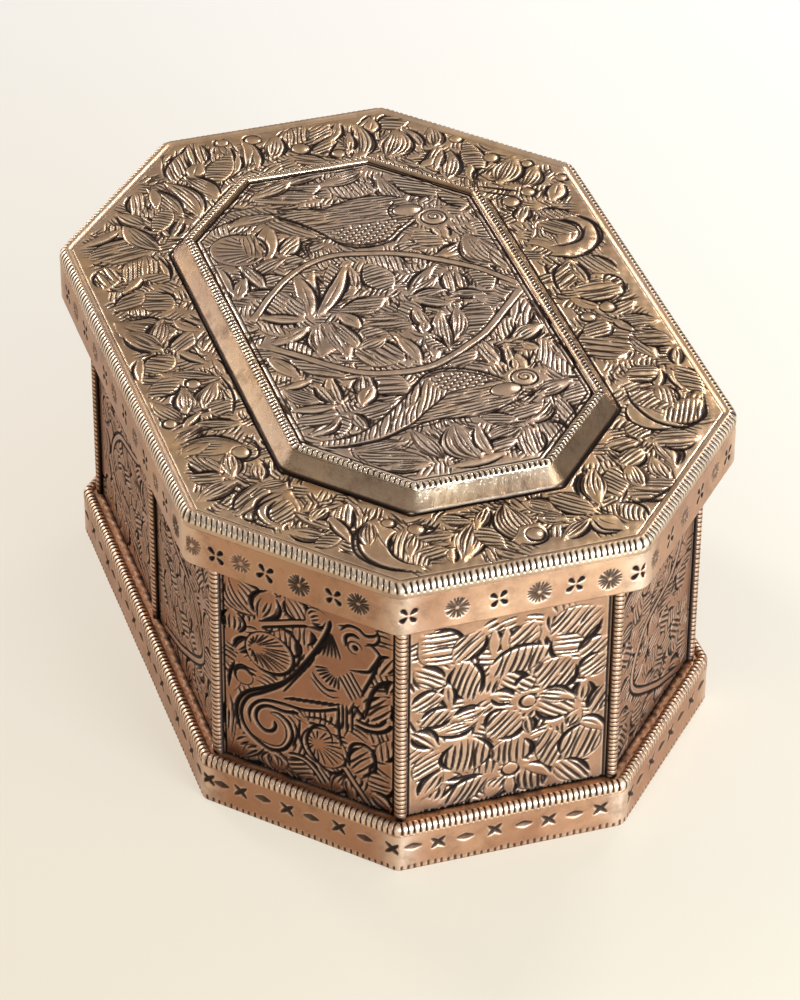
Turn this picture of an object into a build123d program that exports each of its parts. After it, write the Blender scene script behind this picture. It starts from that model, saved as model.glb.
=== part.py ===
from build123d import *
import os
from math import atan2, radians, tan

# A footed eight-sided sheet brass box with a deep lift-off lid.
# Millimetres, +Z up. The origin is the centre of the underside.
# X runs along the box and Y across it. The front long side faces -Y.
# Every outline is the same stretched octagon, moved in from the lid's skirt by an inset.

# Lid outline, over the faces of the skirt
lid_length = 150.0
lid_width = 102.5
cut_along_length = 31.2
cut_along_width = 28.8
skirt_corner_radius = 4.0

# Lid
border_height = 65.5
skirt_drop = 10.5
skirt_wall = 1.2
skirt_overhang = 4.8
lid_sheet = 1.0
rim_bead_radius = 1.3
rim_bead_setback = 0.1
rim_bead_trim = 0.3
border_width = 19.7
bevel_run = 2.4
bevel_rise = 3.0
bevel_wall = 1.3
field_bead_radius = 0.9
field_corner_radius = 1.6
inner_band_sheet = 1.0
inner_band_depth = 6.0

# Body
panel_sheet = 1.2
floor_sheet = 1.2
post_radius = 1.2
mouth_band_sheet = 1.0
mouth_band_height = 6.0

# Plinth
plinth_height = 10.2
plinth_wall = 1.2
plinth_ledge_sheet = 1.0
plinth_ledge_width = 0.3
plinth_bead_radius = 1.0
plinth_corner_radius = 2.5

# Clearances
lid_side_clearance = 0.5
lid_seat_clearance = 0.3

# Insets from the skirt's face
panel_inset = skirt_overhang + post_radius
panel_inner_inset = panel_inset + panel_sheet
mouth_inset = panel_inner_inset + mouth_band_sheet
inner_band_inset = mouth_inset + lid_side_clearance
plinth_bead_inset = skirt_overhang - plinth_ledge_width - plinth_bead_radius
plinth_inset = plinth_bead_inset - plinth_bead_radius
plinth_inner_inset = plinth_inset + plinth_wall
rim_bead_inset = rim_bead_setback + rim_bead_radius
bevel_top_inset = border_width + bevel_run
field_inset = bevel_top_inset + bevel_wall
field_bead_inset = bevel_top_inset + field_bead_radius

# Heights above the underside
border_underside = border_height - lid_sheet
body_top = border_underside - lid_seat_clearance
rim_bead_centre = border_height - rim_bead_radius
skirt_top = rim_bead_centre - rim_bead_radius + rim_bead_trim
skirt_bottom = border_height - skirt_drop
field_height = border_height + bevel_rise
ledge_height = plinth_height - plinth_bead_radius

# Turns of the outline where a corner face meets a long side and an end
long_turn = atan2(cut_along_width, cut_along_length)
end_turn = radians(90) - long_turn


def corners(inset):
    """The outline's eight corners, counter-clockwise from the front side's left corner."""
    long_x = lid_length / 2 - cut_along_length - inset * tan(long_turn / 2)
    end_y = lid_width / 2 - cut_along_width - inset * tan(end_turn / 2)
    x = lid_length / 2 - inset
    y = lid_width / 2 - inset
    return [
        (-long_x, -y),
        (long_x, -y),
        (x, -end_y),
        (x, end_y),
        (long_x, y),
        (-long_x, y),
        (-x, end_y),
        (-x, -end_y),
    ]


def outline(inset, radius=0.0):
    """A flat octagon face, with its corners rounded to the radius."""
    face = make_face(Polyline(*corners(inset), close=True))
    if radius > 0:
        face = fillet(face.vertices(), radius)
    return face


def prism(section, low, high):
    """A flat section stood up between two heights."""
    return extrude(Pos(0, 0, low) * section, amount=high - low)


def half_round(inset, height, radius, corner_radius, floor_height):
    """A half-round bead round the outline, cut flat at the floor height.

    The inset and height are those of its section's centre, on the outline's path."""
    path = outline(inset, corner_radius).face().outer_wire().moved(Location((0, 0, height)))
    start = Plane(origin=path @ 0, z_dir=path % 0)
    bead = sweep(start * Circle(radius), path=path)
    reach = lid_length + lid_width
    return bead - Pos(0, 0, floor_height) * Box(
        reach, reach, reach, align=(Align.CENTER, Align.CENTER, Align.MAX)
    )


def lid_skirt():
    ring = outline(0, skirt_corner_radius) - outline(skirt_wall)
    return prism(ring, skirt_bottom, skirt_top)


def lid_rim_bead():
    radius = skirt_corner_radius - rim_bead_inset
    bead = half_round(rim_bead_inset, rim_bead_centre, rim_bead_radius, radius, skirt_top)
    return bead - prism(outline(rim_bead_inset), skirt_top, border_height)


def lid_border_plate():
    ring = outline(rim_bead_inset) - outline(border_width + bevel_wall)
    return prism(ring, border_underside, border_height)


def lid_bevel_frame():
    """The sloping frame that lifts the middle of the lid."""
    low = Pos(0, 0, border_height)
    high = Pos(0, 0, field_height)
    outside = loft([low * outline(border_width), high * outline(bevel_top_inset)], ruled=True)
    inside = loft(
        [low * outline(border_width + bevel_wall), high * outline(field_inset)], ruled=True
    )
    return outside - inside


def lid_field_plate():
    return prism(outline(field_inset), field_height - lid_sheet, field_height)


def lid_field_bead():
    return half_round(
        field_bead_inset, field_height, field_bead_radius, field_corner_radius, field_height
    )


def lid_inner_band():
    """The band under the lid that drops into the body's mouth and keeps the lid in place."""
    ring = outline(inner_band_inset) - outline(inner_band_inset + inner_band_sheet)
    return prism(ring, border_underside - inner_band_depth, border_underside)


def floor_plate():
    return prism(outline(plinth_inner_inset), 0, floor_sheet)


def plinth_band():
    """The base moulding: an upright wall with a ledge that runs in to the panels."""
    face = outline(plinth_inset, plinth_corner_radius)
    wall = prism(face - outline(plinth_inner_inset), 0, ledge_height)
    ledge = prism(face - outline(panel_inset), ledge_height - plinth_ledge_sheet, ledge_height)
    return wall + ledge


def plinth_bead():
    radius = plinth_corner_radius - plinth_bead_radius
    return half_round(plinth_bead_inset, ledge_height, plinth_bead_radius, radius, ledge_height)


def mouth_band():
    ring = outline(panel_inner_inset) - outline(mouth_inset)
    return prism(ring, body_top - mouth_band_height, body_top)


def side_panel(side):
    """One flat wall, mitred at both ends, on the side that starts at the numbered corner."""
    outer = corners(panel_inset)
    inner = corners(panel_inner_inset)
    ahead = (side + 1) % 8
    section = make_face(Polyline(outer[side], outer[ahead], inner[ahead], inner[side], close=True))
    return prism(section, floor_sheet, body_top)


def half_panel(side, direction):
    """The half of a long wall to one side of the middle, -1 to the left and 1 to the right."""
    reach = lid_length / 2
    middle = Pos(direction * reach / 2, 0, 0) * Box(
        reach, lid_width, body_top, align=(Align.CENTER, Align.CENTER, Align.MIN)
    )
    return side_panel(side) & middle


def post(x, y):
    """A half-round upright on the outside of the panels, over the joint of two of them."""
    section = Pos(x, y) * Circle(post_radius) - outline(panel_inset)
    return prism(section, ledge_height, body_top)


side_names = {
    1: "front_right_corner_panel",
    2: "right_end_panel",
    3: "back_right_corner_panel",
    5: "back_left_corner_panel",
    6: "left_end_panel",
    7: "front_left_corner_panel",
}
corner_names = [
    "front_post_left",
    "front_post_right",
    "right_post_front",
    "right_post_back",
    "back_post_right",
    "back_post_left",
    "left_post_back",
    "left_post_front",
]

parts = {
    "floor_plate": floor_plate(),
    "plinth_band": plinth_band(),
    "plinth_bead": plinth_bead(),
    "mouth_band": mouth_band(),
    "front_left_panel": half_panel(0, -1),
    "front_right_panel": half_panel(0, 1),
    "back_left_panel": half_panel(4, -1),
    "back_right_panel": half_panel(4, 1),
    "front_post_middle": post(0, panel_inset - lid_width / 2),
    "back_post_middle": post(0, lid_width / 2 - panel_inset),
    "lid_skirt": lid_skirt(),
    "lid_rim_bead": lid_rim_bead(),
    "lid_border_plate": lid_border_plate(),
    "lid_bevel_frame": lid_bevel_frame(),
    "lid_field_plate": lid_field_plate(),
    "lid_field_bead": lid_field_bead(),
    "lid_inner_band": lid_inner_band(),
}
for side, name in side_names.items():
    parts[name] = side_panel(side)
for name, (x, y) in zip(corner_names, corners(panel_inset)):
    parts[name] = post(x, y)

os.makedirs("parts", exist_ok=True)
for name, solid in parts.items():
    export_step(solid, f"parts/{name}.step")
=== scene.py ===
from math import atan2, cos, hypot, pi, radians, sin, tan

import bpy
import numpy as np
from mathutils import Matrix, Vector


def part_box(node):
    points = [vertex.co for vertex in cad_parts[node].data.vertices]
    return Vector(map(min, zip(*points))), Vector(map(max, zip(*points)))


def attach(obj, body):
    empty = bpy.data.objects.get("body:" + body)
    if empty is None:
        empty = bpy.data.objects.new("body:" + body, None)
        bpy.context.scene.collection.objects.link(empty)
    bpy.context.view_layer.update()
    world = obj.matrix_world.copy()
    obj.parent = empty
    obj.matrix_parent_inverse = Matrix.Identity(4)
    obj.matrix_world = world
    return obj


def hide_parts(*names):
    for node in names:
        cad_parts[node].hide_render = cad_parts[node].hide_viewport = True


# An eight-sided chased brass box. Sizes are in millimetres until a mesh is made.
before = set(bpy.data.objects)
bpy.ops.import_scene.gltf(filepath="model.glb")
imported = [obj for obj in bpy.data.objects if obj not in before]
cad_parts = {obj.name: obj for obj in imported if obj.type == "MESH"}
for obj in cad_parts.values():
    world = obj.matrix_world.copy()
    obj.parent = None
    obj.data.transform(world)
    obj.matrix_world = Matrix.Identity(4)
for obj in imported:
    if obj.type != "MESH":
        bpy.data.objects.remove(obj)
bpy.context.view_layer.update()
MM = 0.001
rng = np.random.default_rng(27)


def span(node):
    """Lowest and highest corner of a CAD node, in millimetres."""
    low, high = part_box(node)
    return np.array(low) / MM, np.array(high) / MM


# Sizes read from the frame
(_, _, skirt_bottom), (half_length, half_width, skirt_top) = span("lid_skirt")
border_x, _, border_top = span("lid_border_plate")[1]
border_inset = half_length - border_x
bevel_foot_inset = half_length - span("lid_bevel_frame")[1][0]
field_low, field_high = span("lid_field_plate")
field_top = field_high[2]
field_inset = half_length - field_high[0]
long_panel_x = span("front_left_panel")[0][0]
(_, _, panel_bottom), (end_panel_x, end_panel_y, panel_top) = span("right_end_panel")
panel_inset = half_length - end_panel_x
plinth_x, _, ledge_height = span("plinth_band")[1]
plinth_inset = half_length - plinth_x
plinth_inner_inset = half_length - span("floor_plate")[1][0]

# Sizes that the boxes of the nodes don't show
panel_sheet = 1.2
skirt_wall = 1.2
lid_sheet = 1.0
bevel_run = 2.4
bevel_wall = 1.3
post_radius = 1.2
rim_radius = 1.42
rim_inset = 1.42
field_bead_radius = 0.95
plinth_bead_radius = 1.03
plinth_ledge_sheet = 1.0
skirt_corner_radius = 4.0
plinth_corner_radius = 2.5
bevel_corner_radius = 5.0
bevel_top_inset = bevel_foot_inset + bevel_run
field_bead_inset = bevel_top_inset + field_bead_radius
plinth_bead_inset = plinth_inset + 1.0

# How far apart the points of the drawings and of the meshes lie
DRAWING_STEP = 0.1
MESH_STEP = 0.2
BEAD_STEP = 0.12

# Spacing of the milled strokes and of the punch marks
RIM_PITCH = 1.06
FIELD_PITCH = 1.02
FOOT_PITCH = 1.1
POST_PITCH = 0.98
SKIRT_MARK_PITCH = 6.9
PLINTH_MARK_PITCH = 5.0
NOTCH_PITCH = 1.25


def corner_cuts():
    """How far the corner faces run along the length and the width of the outline."""
    along_length = half_length + long_panel_x
    along_width = half_width - end_panel_y
    for _ in range(40):
        turn = atan2(along_width, along_length)
        along_length = half_length + long_panel_x - panel_inset * tan(turn / 2)
        along_width = half_width - end_panel_y - panel_inset * tan(pi / 4 - turn / 2)
    return along_length, along_width


cut_length, cut_width = corner_cuts()
long_turn = atan2(cut_width, cut_length)
end_turn = pi / 2 - long_turn


def corners(inset):
    """The outline's eight corners, from the front side's left corner round by the right."""
    long_x = half_length - cut_length - inset * tan(long_turn / 2)
    end_y = half_width - cut_width - inset * tan(end_turn / 2)
    x = half_length - inset
    y = half_width - inset
    return np.array([
        (-long_x, -y), (long_x, -y), (x, -end_y), (x, end_y),
        (long_x, y), (-long_x, y), (-x, end_y), (-x, -end_y),
    ])


def side(number, inset):
    """A side's first corner, its direction, its outward normal and its length."""
    points = corners(inset)
    start, end = points[number], points[(number + 1) % 8]
    length = hypot(*(end - start))
    along = (end - start) / length
    return start, along, np.array((along[1], -along[0])), length


def heading(angle):
    """The unit vector at an angle in radians."""
    return np.array((cos(angle), sin(angle)))


def oval(centre, radii, angles):
    """Points round a centre, at angles in radians."""
    return np.array(centre) + np.multiply(radii, np.stack([np.cos(angles), np.sin(angles)], 1))


ROUND = np.linspace(0, 2 * pi, 25)[:-1]


class Path:
    """Columns round the octagon, with rounded corners, that can be moved to any inset."""

    def __init__(self, inset, radius, step):
        self.inset = inset
        self.centre_inset = inset + radius
        columns = []
        for k in range(8):
            _, _, normal, length = side(k, self.centre_inset)
            count = max(2, int(length / step))
            columns += [(k, i / count, *normal) for i in range(count + (radius > 0))]
            if radius > 0:
                after = side((k + 1) % 8, self.centre_inset)[2]
                turn = atan2(normal[0] * after[1] - normal[1] * after[0], normal @ after)
                arc = max(2, int(turn * (radius + 0.2) / step))
                for i in range(1, arc):
                    c, s = cos(turn * i / arc), sin(turn * i / arc)
                    columns.append((k, 1.0, normal[0] * c - normal[1] * s,
                                    normal[0] * s + normal[1] * c))
        columns = np.array(columns)
        self.side = columns[:, 0].astype(int)
        self.part = columns[:, 1]
        self.normal = columns[:, 2:]
        walk = self.at(inset)
        steps = np.hypot(*(np.roll(walk, -1, 0) - walk).T)
        self.distance = np.concatenate([[0.0], np.cumsum(steps)[:-1]])
        self.length = steps.sum()

    def at(self, inset):
        spine = corners(max(inset, self.centre_inset))
        start, end = spine[self.side], spine[(self.side + 1) % 8]
        spread = max(self.centre_inset - inset, 0.0)
        return start + (end - start) * self.part[:, None] + self.normal * spread


# Chasing

def smooth(points, step):
    """A Catmull-Rom curve through the points, sampled about every step."""
    p = np.array(points, float)
    if len(p) == 2:
        count = max(2, int(hypot(*(p[1] - p[0])) / step) + 1)
        return p[0] + (p[1] - p[0]) * np.linspace(0, 1, count)[:, None]
    padded = np.vstack([2 * p[0] - p[1], p, 2 * p[-1] - p[-2]])
    runs = []
    for i in range(len(p) - 1):
        a, b, c, d = padded[i:i + 4]
        count = max(2, int(hypot(*(c - b)) / step) + 1)
        t = np.linspace(0, 1, count)[:, None]
        if i < len(p) - 2:
            t = t[:-1]
        runs.append(0.5 * (2 * b + (c - a) * t + (2 * a - 5 * b + 4 * c - d) * t ** 2
                           + (3 * b - 3 * c + d - a) * t ** 3))
    return np.vstack(runs)


def lefts(slope):
    """The unit vectors to the left of a curve's slopes."""
    return np.stack([-slope[:, 1], slope[:, 0]], 1) / np.hypot(*slope.T)[:, None]


def inside(polygon, x, y):
    """Which of the points lie in the polygon."""
    result = np.zeros(x.shape, bool)
    for (ax, ay), (bx, by) in zip(polygon, np.roll(polygon, -1, 0)):
        if ay != by:
            crosses = (ay > y) != (by > y)
            result ^= crosses & (x < (bx - ax) * (y - ay) / (by - ay) + ax)
    return result


def chords(polygon, angle, pitch, margin):
    """Parallel lines at an angle, cut to the polygon and drawn in from its edge."""
    along = heading(radians(angle))
    across = np.array((-along[1], along[0]))
    u, v = polygon @ along, polygon @ across
    u2, v2 = np.roll(u, -1), np.roll(v, -1)
    lines = []
    level = v.min() + pitch * rng.uniform(0.4, 0.7)
    while level < v.max() - 0.25 * pitch:
        hit = (v > level) != (v2 > level)
        if hit.sum() >= 2:
            places = np.sort(u[hit] + (level - v[hit]) / (v2[hit] - v[hit]) * (u2[hit] - u[hit]))
            a, b = places[0] + margin[0], places[-1] - margin[1]
            pieces = max(1, int((b - a) / rng.uniform(4.0, 6.5)))
            cuts = np.linspace(a, b, pieces + 1)
            cuts[1:-1] += rng.uniform(-0.8, 0.8, pieces - 1)
            for one, two in zip(cuts, cuts[1:] - 0.3 * (np.arange(pieces) < pieces - 1)):
                if two - one > 0.7:
                    shift = rng.uniform(-0.1, 0.1) * pitch * (pieces > 1)
                    sway = rng.uniform(-0.06, 0.06) * (two - one)
                    lines.append([along * one + across * (level + shift),
                                  along * (one + two) / 2 + across * (level + sway),
                                  along * two + across * (level - shift)])
        level += pitch * rng.uniform(0.88, 1.12)
    return lines


def blurred(field, reach):
    """A box blur, three times over."""
    size = 2 * reach + 1
    for _ in range(3):
        for axis in (0, 1):
            pad = [(0, 0), (0, 0)]
            pad[axis] = (reach + 1, reach)
            total = np.moveaxis(np.cumsum(np.pad(field, pad, mode="edge"), axis), axis, 0)
            field = np.moveaxis((total[size:] - total[:-size]) / size, 0, axis)
    return field


# The share of a stroke's length over which each of its ends thins to nothing
BLUNT = (0.001, 0.001)
SNUB = (0.03, 0.05)


class Sheet:
    """Chasing on a flat sheet: the depth of the cuts, the dirt that darkens them with painted shade
    in the hollows, and the wear and painted highlight on the ridges beside them.

    Its style is the hatching's spacing and width, how much the leaves swell, and how far the dirt
    spreads over a cut."""

    def __init__(self, low, high, hatch_pitch=0.95, hatch_width=0.5, relief=1.0, spread=2.3):
        self.low = np.array(low, float)
        self.hatch_pitch = hatch_pitch
        self.hatch_width = hatch_width
        self.relief = relief
        self.spread = spread
        columns, rows = (int((b - a) / DRAWING_STEP) + 2 for a, b in zip(low, high))
        self.x = self.low[0] + DRAWING_STEP * np.arange(columns)
        self.y = self.low[1] + DRAWING_STEP * np.arange(rows)
        self.cut, self.soot, self.lift = np.zeros((3, rows, columns))

    def window(self, points, margin):
        """The slices of the sheet round some points, and the places of its columns and rows."""
        low, high = np.min(points, 0) - margin, np.max(points, 0) + margin
        a = np.clip(((low - self.low) / DRAWING_STEP).astype(int), 0, None)
        b = np.clip(((high - self.low) / DRAWING_STEP).astype(int) + 2, 0, None)
        rows, columns = slice(a[1], b[1]), slice(a[0], b[0])
        return (rows, columns), self.x[columns], self.y[rows]

    def stroke(self, points, width, ends=(0.2, 0.2), depth=0.42, soot=1.0, spread=None):
        """One V cut along a curve, thinning towards its ends."""
        line = smooth(points, max(0.1, 0.22 * width))
        t = np.linspace(0, 1, len(line))
        thin = np.clip(np.minimum(t / ends[0], (1 - t) / ends[1]), 0, 1)
        radius = 0.5 * width * thin ** 0.6 + 0.05
        for i in range(0, len(line) - 1, 14):
            p, r = line[i:i + 15], radius[i:i + 15]
            where, x, y = self.window(p, width)
            away = np.sqrt((x[None, :, None] - p[:, 0]) ** 2 + (y[:, None, None] - p[:, 1]) ** 2)
            near = np.clip(1 - away / r, 0, 1)
            deep = (near * r).max(2) * (2 * depth)
            shade = np.clip(near.max(2) * (spread or self.spread) - 0.3, 0, 1) * soot
            self.cut[where] = np.maximum(self.cut[where], deep)
            self.soot[where] = np.maximum(self.soot[where], shade)

    def strokes(self, table):
        for points, width, *ends in table:
            self.stroke(points, width, *ends)

    def clear(self, polygon):
        """Smooth what lies in a polygon. Gives the window round it and which points it holds."""
        where, x, y = self.window(polygon, 0.1)
        x, y = np.meshgrid(x, y)
        hit = inside(polygon, x, y)
        for layer in (self.cut, self.soot, self.lift):
            layer[where][hit] = 0.0
        return where, x, y, hit

    def boss(self, centre, radii, rise):
        """A smooth oval swelling."""
        where, x, y, _ = self.clear(oval(centre, radii, ROUND))
        swell = 1 - ((x - centre[0]) / radii[0]) ** 2 - ((y - centre[1]) / radii[1]) ** 2
        self.lift[where][swell > 0] = rise * swell[swell > 0]

    def leaf(self, base, tip, half, bend=0.0, hatch="along", heavy=1):
        """A leaf from base to tip. The hatch is along it, at an angle in degrees, or plain.

        Heavy says which edge has the broad dark cut: 1 the left, -1 the right, 2 both, 0 none."""
        base, tip = np.array(base, float), np.array(tip, float)
        half = half * 1.08
        if bend == 0:
            bend = rng.uniform(-0.06, 0.06)
        length = hypot(*(tip - base))
        left = np.array((base[1] - tip[1], tip[0] - base[0])) / length
        knee = (base + tip) / 2 + left * bend * length
        s = np.linspace(0, 1, 17)[:, None]
        spine = (1 - s) ** 2 * base + 2 * s * (1 - s) * knee + s ** 2 * tip
        normal = lefts(2 * (1 - s) * (knee - base) + 2 * s * (tip - knee))
        fullness = 0.95 if hatch in ("along", "plain") else 0.75
        width = half * np.sin(pi * s ** 0.9) ** fullness + 0.02
        one, two = spine + normal * width, spine - normal * width
        polygon = np.vstack([one, two[::-1]])
        where, x, y, hit = self.clear(polygon)

        # The leaf swells along its spine and tips away from its heavy edge
        dx, dy = x[hit][:, None] - spine[:, 0], y[hit][:, None] - spine[:, 1]
        nearest = np.argmin(dx ** 2 + dy ** 2, 1)
        pick = np.arange(len(nearest))
        off = dx[pick, nearest] * normal[nearest, 0] + dy[pick, nearest] * normal[nearest, 1]
        t = np.clip(off / np.maximum(width[nearest, 0], 0.3), -1, 1)
        rise = self.relief * min(0.24, 0.12 * half)
        lean = self.relief * 0.08 * (heavy if heavy in (-1, 1) else 0)
        self.lift[where][hit] = rise * (1 - t ** 2) - lean * t

        if hatch == "along":
            count = max(2, int(2 * half / self.hatch_pitch + 0.5))
            for i in range(count):
                t = (i + 0.5) / count * 2 - 1 + rng.uniform(-0.08, 0.08)
                a, b = rng.integers(0, 5), rng.integers(11, 17)
                line = spine[a:b] + normal[a:b] * width[a:b] * 0.92 * t
                self.stroke(line[::3], self.hatch_width * rng.uniform(0.85, 1.15), (0.2, 0.5),
                            0.48, 0.9)
        elif hatch != "plain":
            for line in chords(polygon, hatch, self.hatch_pitch, (0.0, rng.uniform(0.0, 0.5))):
                self.stroke(line, self.hatch_width * rng.uniform(0.85, 1.2), (0.15, 0.4),
                            0.48, 0.9)
        elif half > 1.3:
            self.stroke(spine[3:12:2], 0.7 * self.hatch_width, (0.2, 0.5), 0.42, 0.8)
        for edge, is_heavy in ((one, heavy in (1, 2)), (two, heavy in (-1, 2))):
            if is_heavy:
                self.stroke(edge[2:15:2], 1.75 * self.hatch_width, (0.3, 0.3), 0.45)
            else:
                self.stroke(edge[1:16:2], 0.3, (0.3, 0.3), 0.42, 0.7)

    def leaves(self, table):
        for x1, y1, x2, y2, *rest in table:
            self.leaf((x1, y1), (x2, y2), *rest)

    def berry(self, centre, radius, turn):
        """A round boss with a broad cut round the side that turn points to."""
        self.boss(centre, (radius, radius), 0.2 * self.relief * min(radius, 2.0))
        self.stroke(oval(centre, radius, radians(turn) + np.linspace(-1.9, 1.9, 9)), 0.7)
        self.stroke(oval(centre, radius, radians(turn) + np.linspace(1.7, 4.6, 7)), 0.25)

    def wheel(self, centre, radius, hub, turn, spokes, heavy=0.8):
        """A round flower: cuts that fan out from its hub, and a broad rim on one side."""
        self.clear(oval(centre, radius, ROUND))
        for i in range(spokes):
            b = 2 * pi * i / spokes + rng.uniform(-0.06, 0.06)
            end = np.array(centre) + radius * 0.88 * heading(b)
            start = hub + (end - hub) * rng.uniform(0.22, 0.4)
            self.stroke([start, end], 0.42, (0.4, 0.15))
        self.stroke(oval(centre, radius, radians(turn) + np.linspace(-1.8, 1.8, 11)), heavy)
        self.stroke(oval(centre, radius, radians(turn) + np.linspace(1.6, 4.7, 9)), 0.35)

    def stem(self, points, half, heavy=0.6, fine=0.4):
        """A smooth band between two cuts."""
        line = smooth(points, 0.8)
        normal = lefts(np.gradient(line, axis=0))
        one, two = line + normal * half, line - normal * half
        self.clear(np.vstack([one, two[::-1]]))
        self.stroke(one[::2], heavy, (0.06, 0.06))
        self.stroke(two[::2], fine, (0.06, 0.06))

    def spiral(self, centre, radius, turns, start):
        t = np.linspace(0, 1, int(14 * turns))
        bearings = radians(start) + 2 * pi * turns * t
        self.stroke(oval(centre, radius * (1 - 0.85 * t[:, None]), bearings), 0.4, (0.1, 0.1))

    def scales(self, polygon, radius=0.9):
        """Rows of overlapping round scales."""
        polygon = np.array(polygon, float)
        self.clear(polygon)
        low, high = polygon.min(0), polygon.max(0)
        row, y = 0, low[1]
        while y < high[1]:
            x = low[0] + (row % 2) * radius
            while x < high[0]:
                if inside(polygon, np.array([x]), np.array([y]))[0]:
                    self.stroke(oval((x, y), radius, np.linspace(-2.2, 2.2, 7)), 0.36,
                                (0.1, 0.1), 0.5, 0.8)
                x += 2 * radius * 0.98
            row += 1
            y += radius * 0.98

    def fill(self, polygon, angle, pitch=0.85, width=0.42):
        polygon = np.array(polygon, float)
        self.clear(polygon)
        for line in chords(polygon, angle, pitch, (0.3, 0.3)):
            self.stroke(line, width)

    def rails(self, lines):
        """Straight cuts along every side of the octagon, each at an inset and of a width."""
        for k in range(8):
            for inset, width in lines:
                start, along, _, length = side(k, inset)
                self.stroke([start, start + along * length], width, BLUNT)

    def thicket(self, low, high, keep, spacing=3.1):
        """Short strokes in small clusters all over, which show only between the leaves."""
        for x in np.arange(low[0], high[0], spacing):
            for y in np.arange(low[1], high[1], spacing):
                centre = np.array((x, y)) + rng.uniform(-0.3, 0.3, 2) * spacing
                if keep(centre):
                    a = 2.2 * sin(0.21 * centre[0]) + 1.7 * cos(0.17 * centre[1])
                    along = heading(a + rng.uniform(-0.5, 0.5))
                    across = np.array((-along[1], along[0]))
                    for i in range(4):
                        middle = centre + across * (i - 1.5) * self.hatch_pitch
                        reach = along * rng.uniform(1.2, 2.1)
                        bow = across * rng.uniform(-0.3, 0.3)
                        self.stroke([middle - reach, middle + bow, middle + reach],
                                    self.hatch_width * rng.uniform(0.8, 1.3), (0.25, 0.5),
                                    0.48, 0.9)

    def settle(self, swell):
        """The metal round the cuts sinks a little, which rounds what stands between them."""
        body = blurred(self.lift, 1)
        self.height = body - self.cut - swell * blurred(self.cut, 7)
        # Painted shade: the hollows between the leaves darken, on top of the dirt in the cuts.
        low = np.clip(1.5 * (blurred(body, 12) - body), 0, 0.2)
        self.dirt_and_shade = np.clip(0.8 * self.soot + 0.2 * blurred(self.soot, 1) + low, 0, 1)
        # Painted highlight, partly wear: the ridges beside the cuts are lightened as if rubbed and
        # catching the light.
        self.wear_and_highlight = np.clip(14.0 * (blurred(self.cut, 2) - self.cut) - 0.1, 0, 1) * (1 - self.dirt_and_shade)
        return self

    def sample(self, x, y):
        """The height, the dirt and painted shade, and the wear and painted highlight at points, by
        bilinear interpolation.
        """
        rows, columns = self.height.shape
        u = np.clip((x - self.low[0]) / DRAWING_STEP, 0, columns - 1.001)
        v = np.clip((y - self.low[1]) / DRAWING_STEP, 0, rows - 1.001)
        i, j = u.astype(int), v.astype(int)
        a, b = u - i, v - j
        values = []
        for layer in (self.height, self.dirt_and_shade, self.wear_and_highlight):
            low = layer[j, i] * (1 - a) + layer[j, i + 1] * a
            high = layer[j + 1, i] * (1 - a) + layer[j + 1, i + 1] * a
            values.append(low * (1 - b) + high * b)
        return values


# Drawings. A leaf's row is its base and tip, its half width, its bend, its hatch and its heavy edge.
# These are on the lid, in plan.

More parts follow.
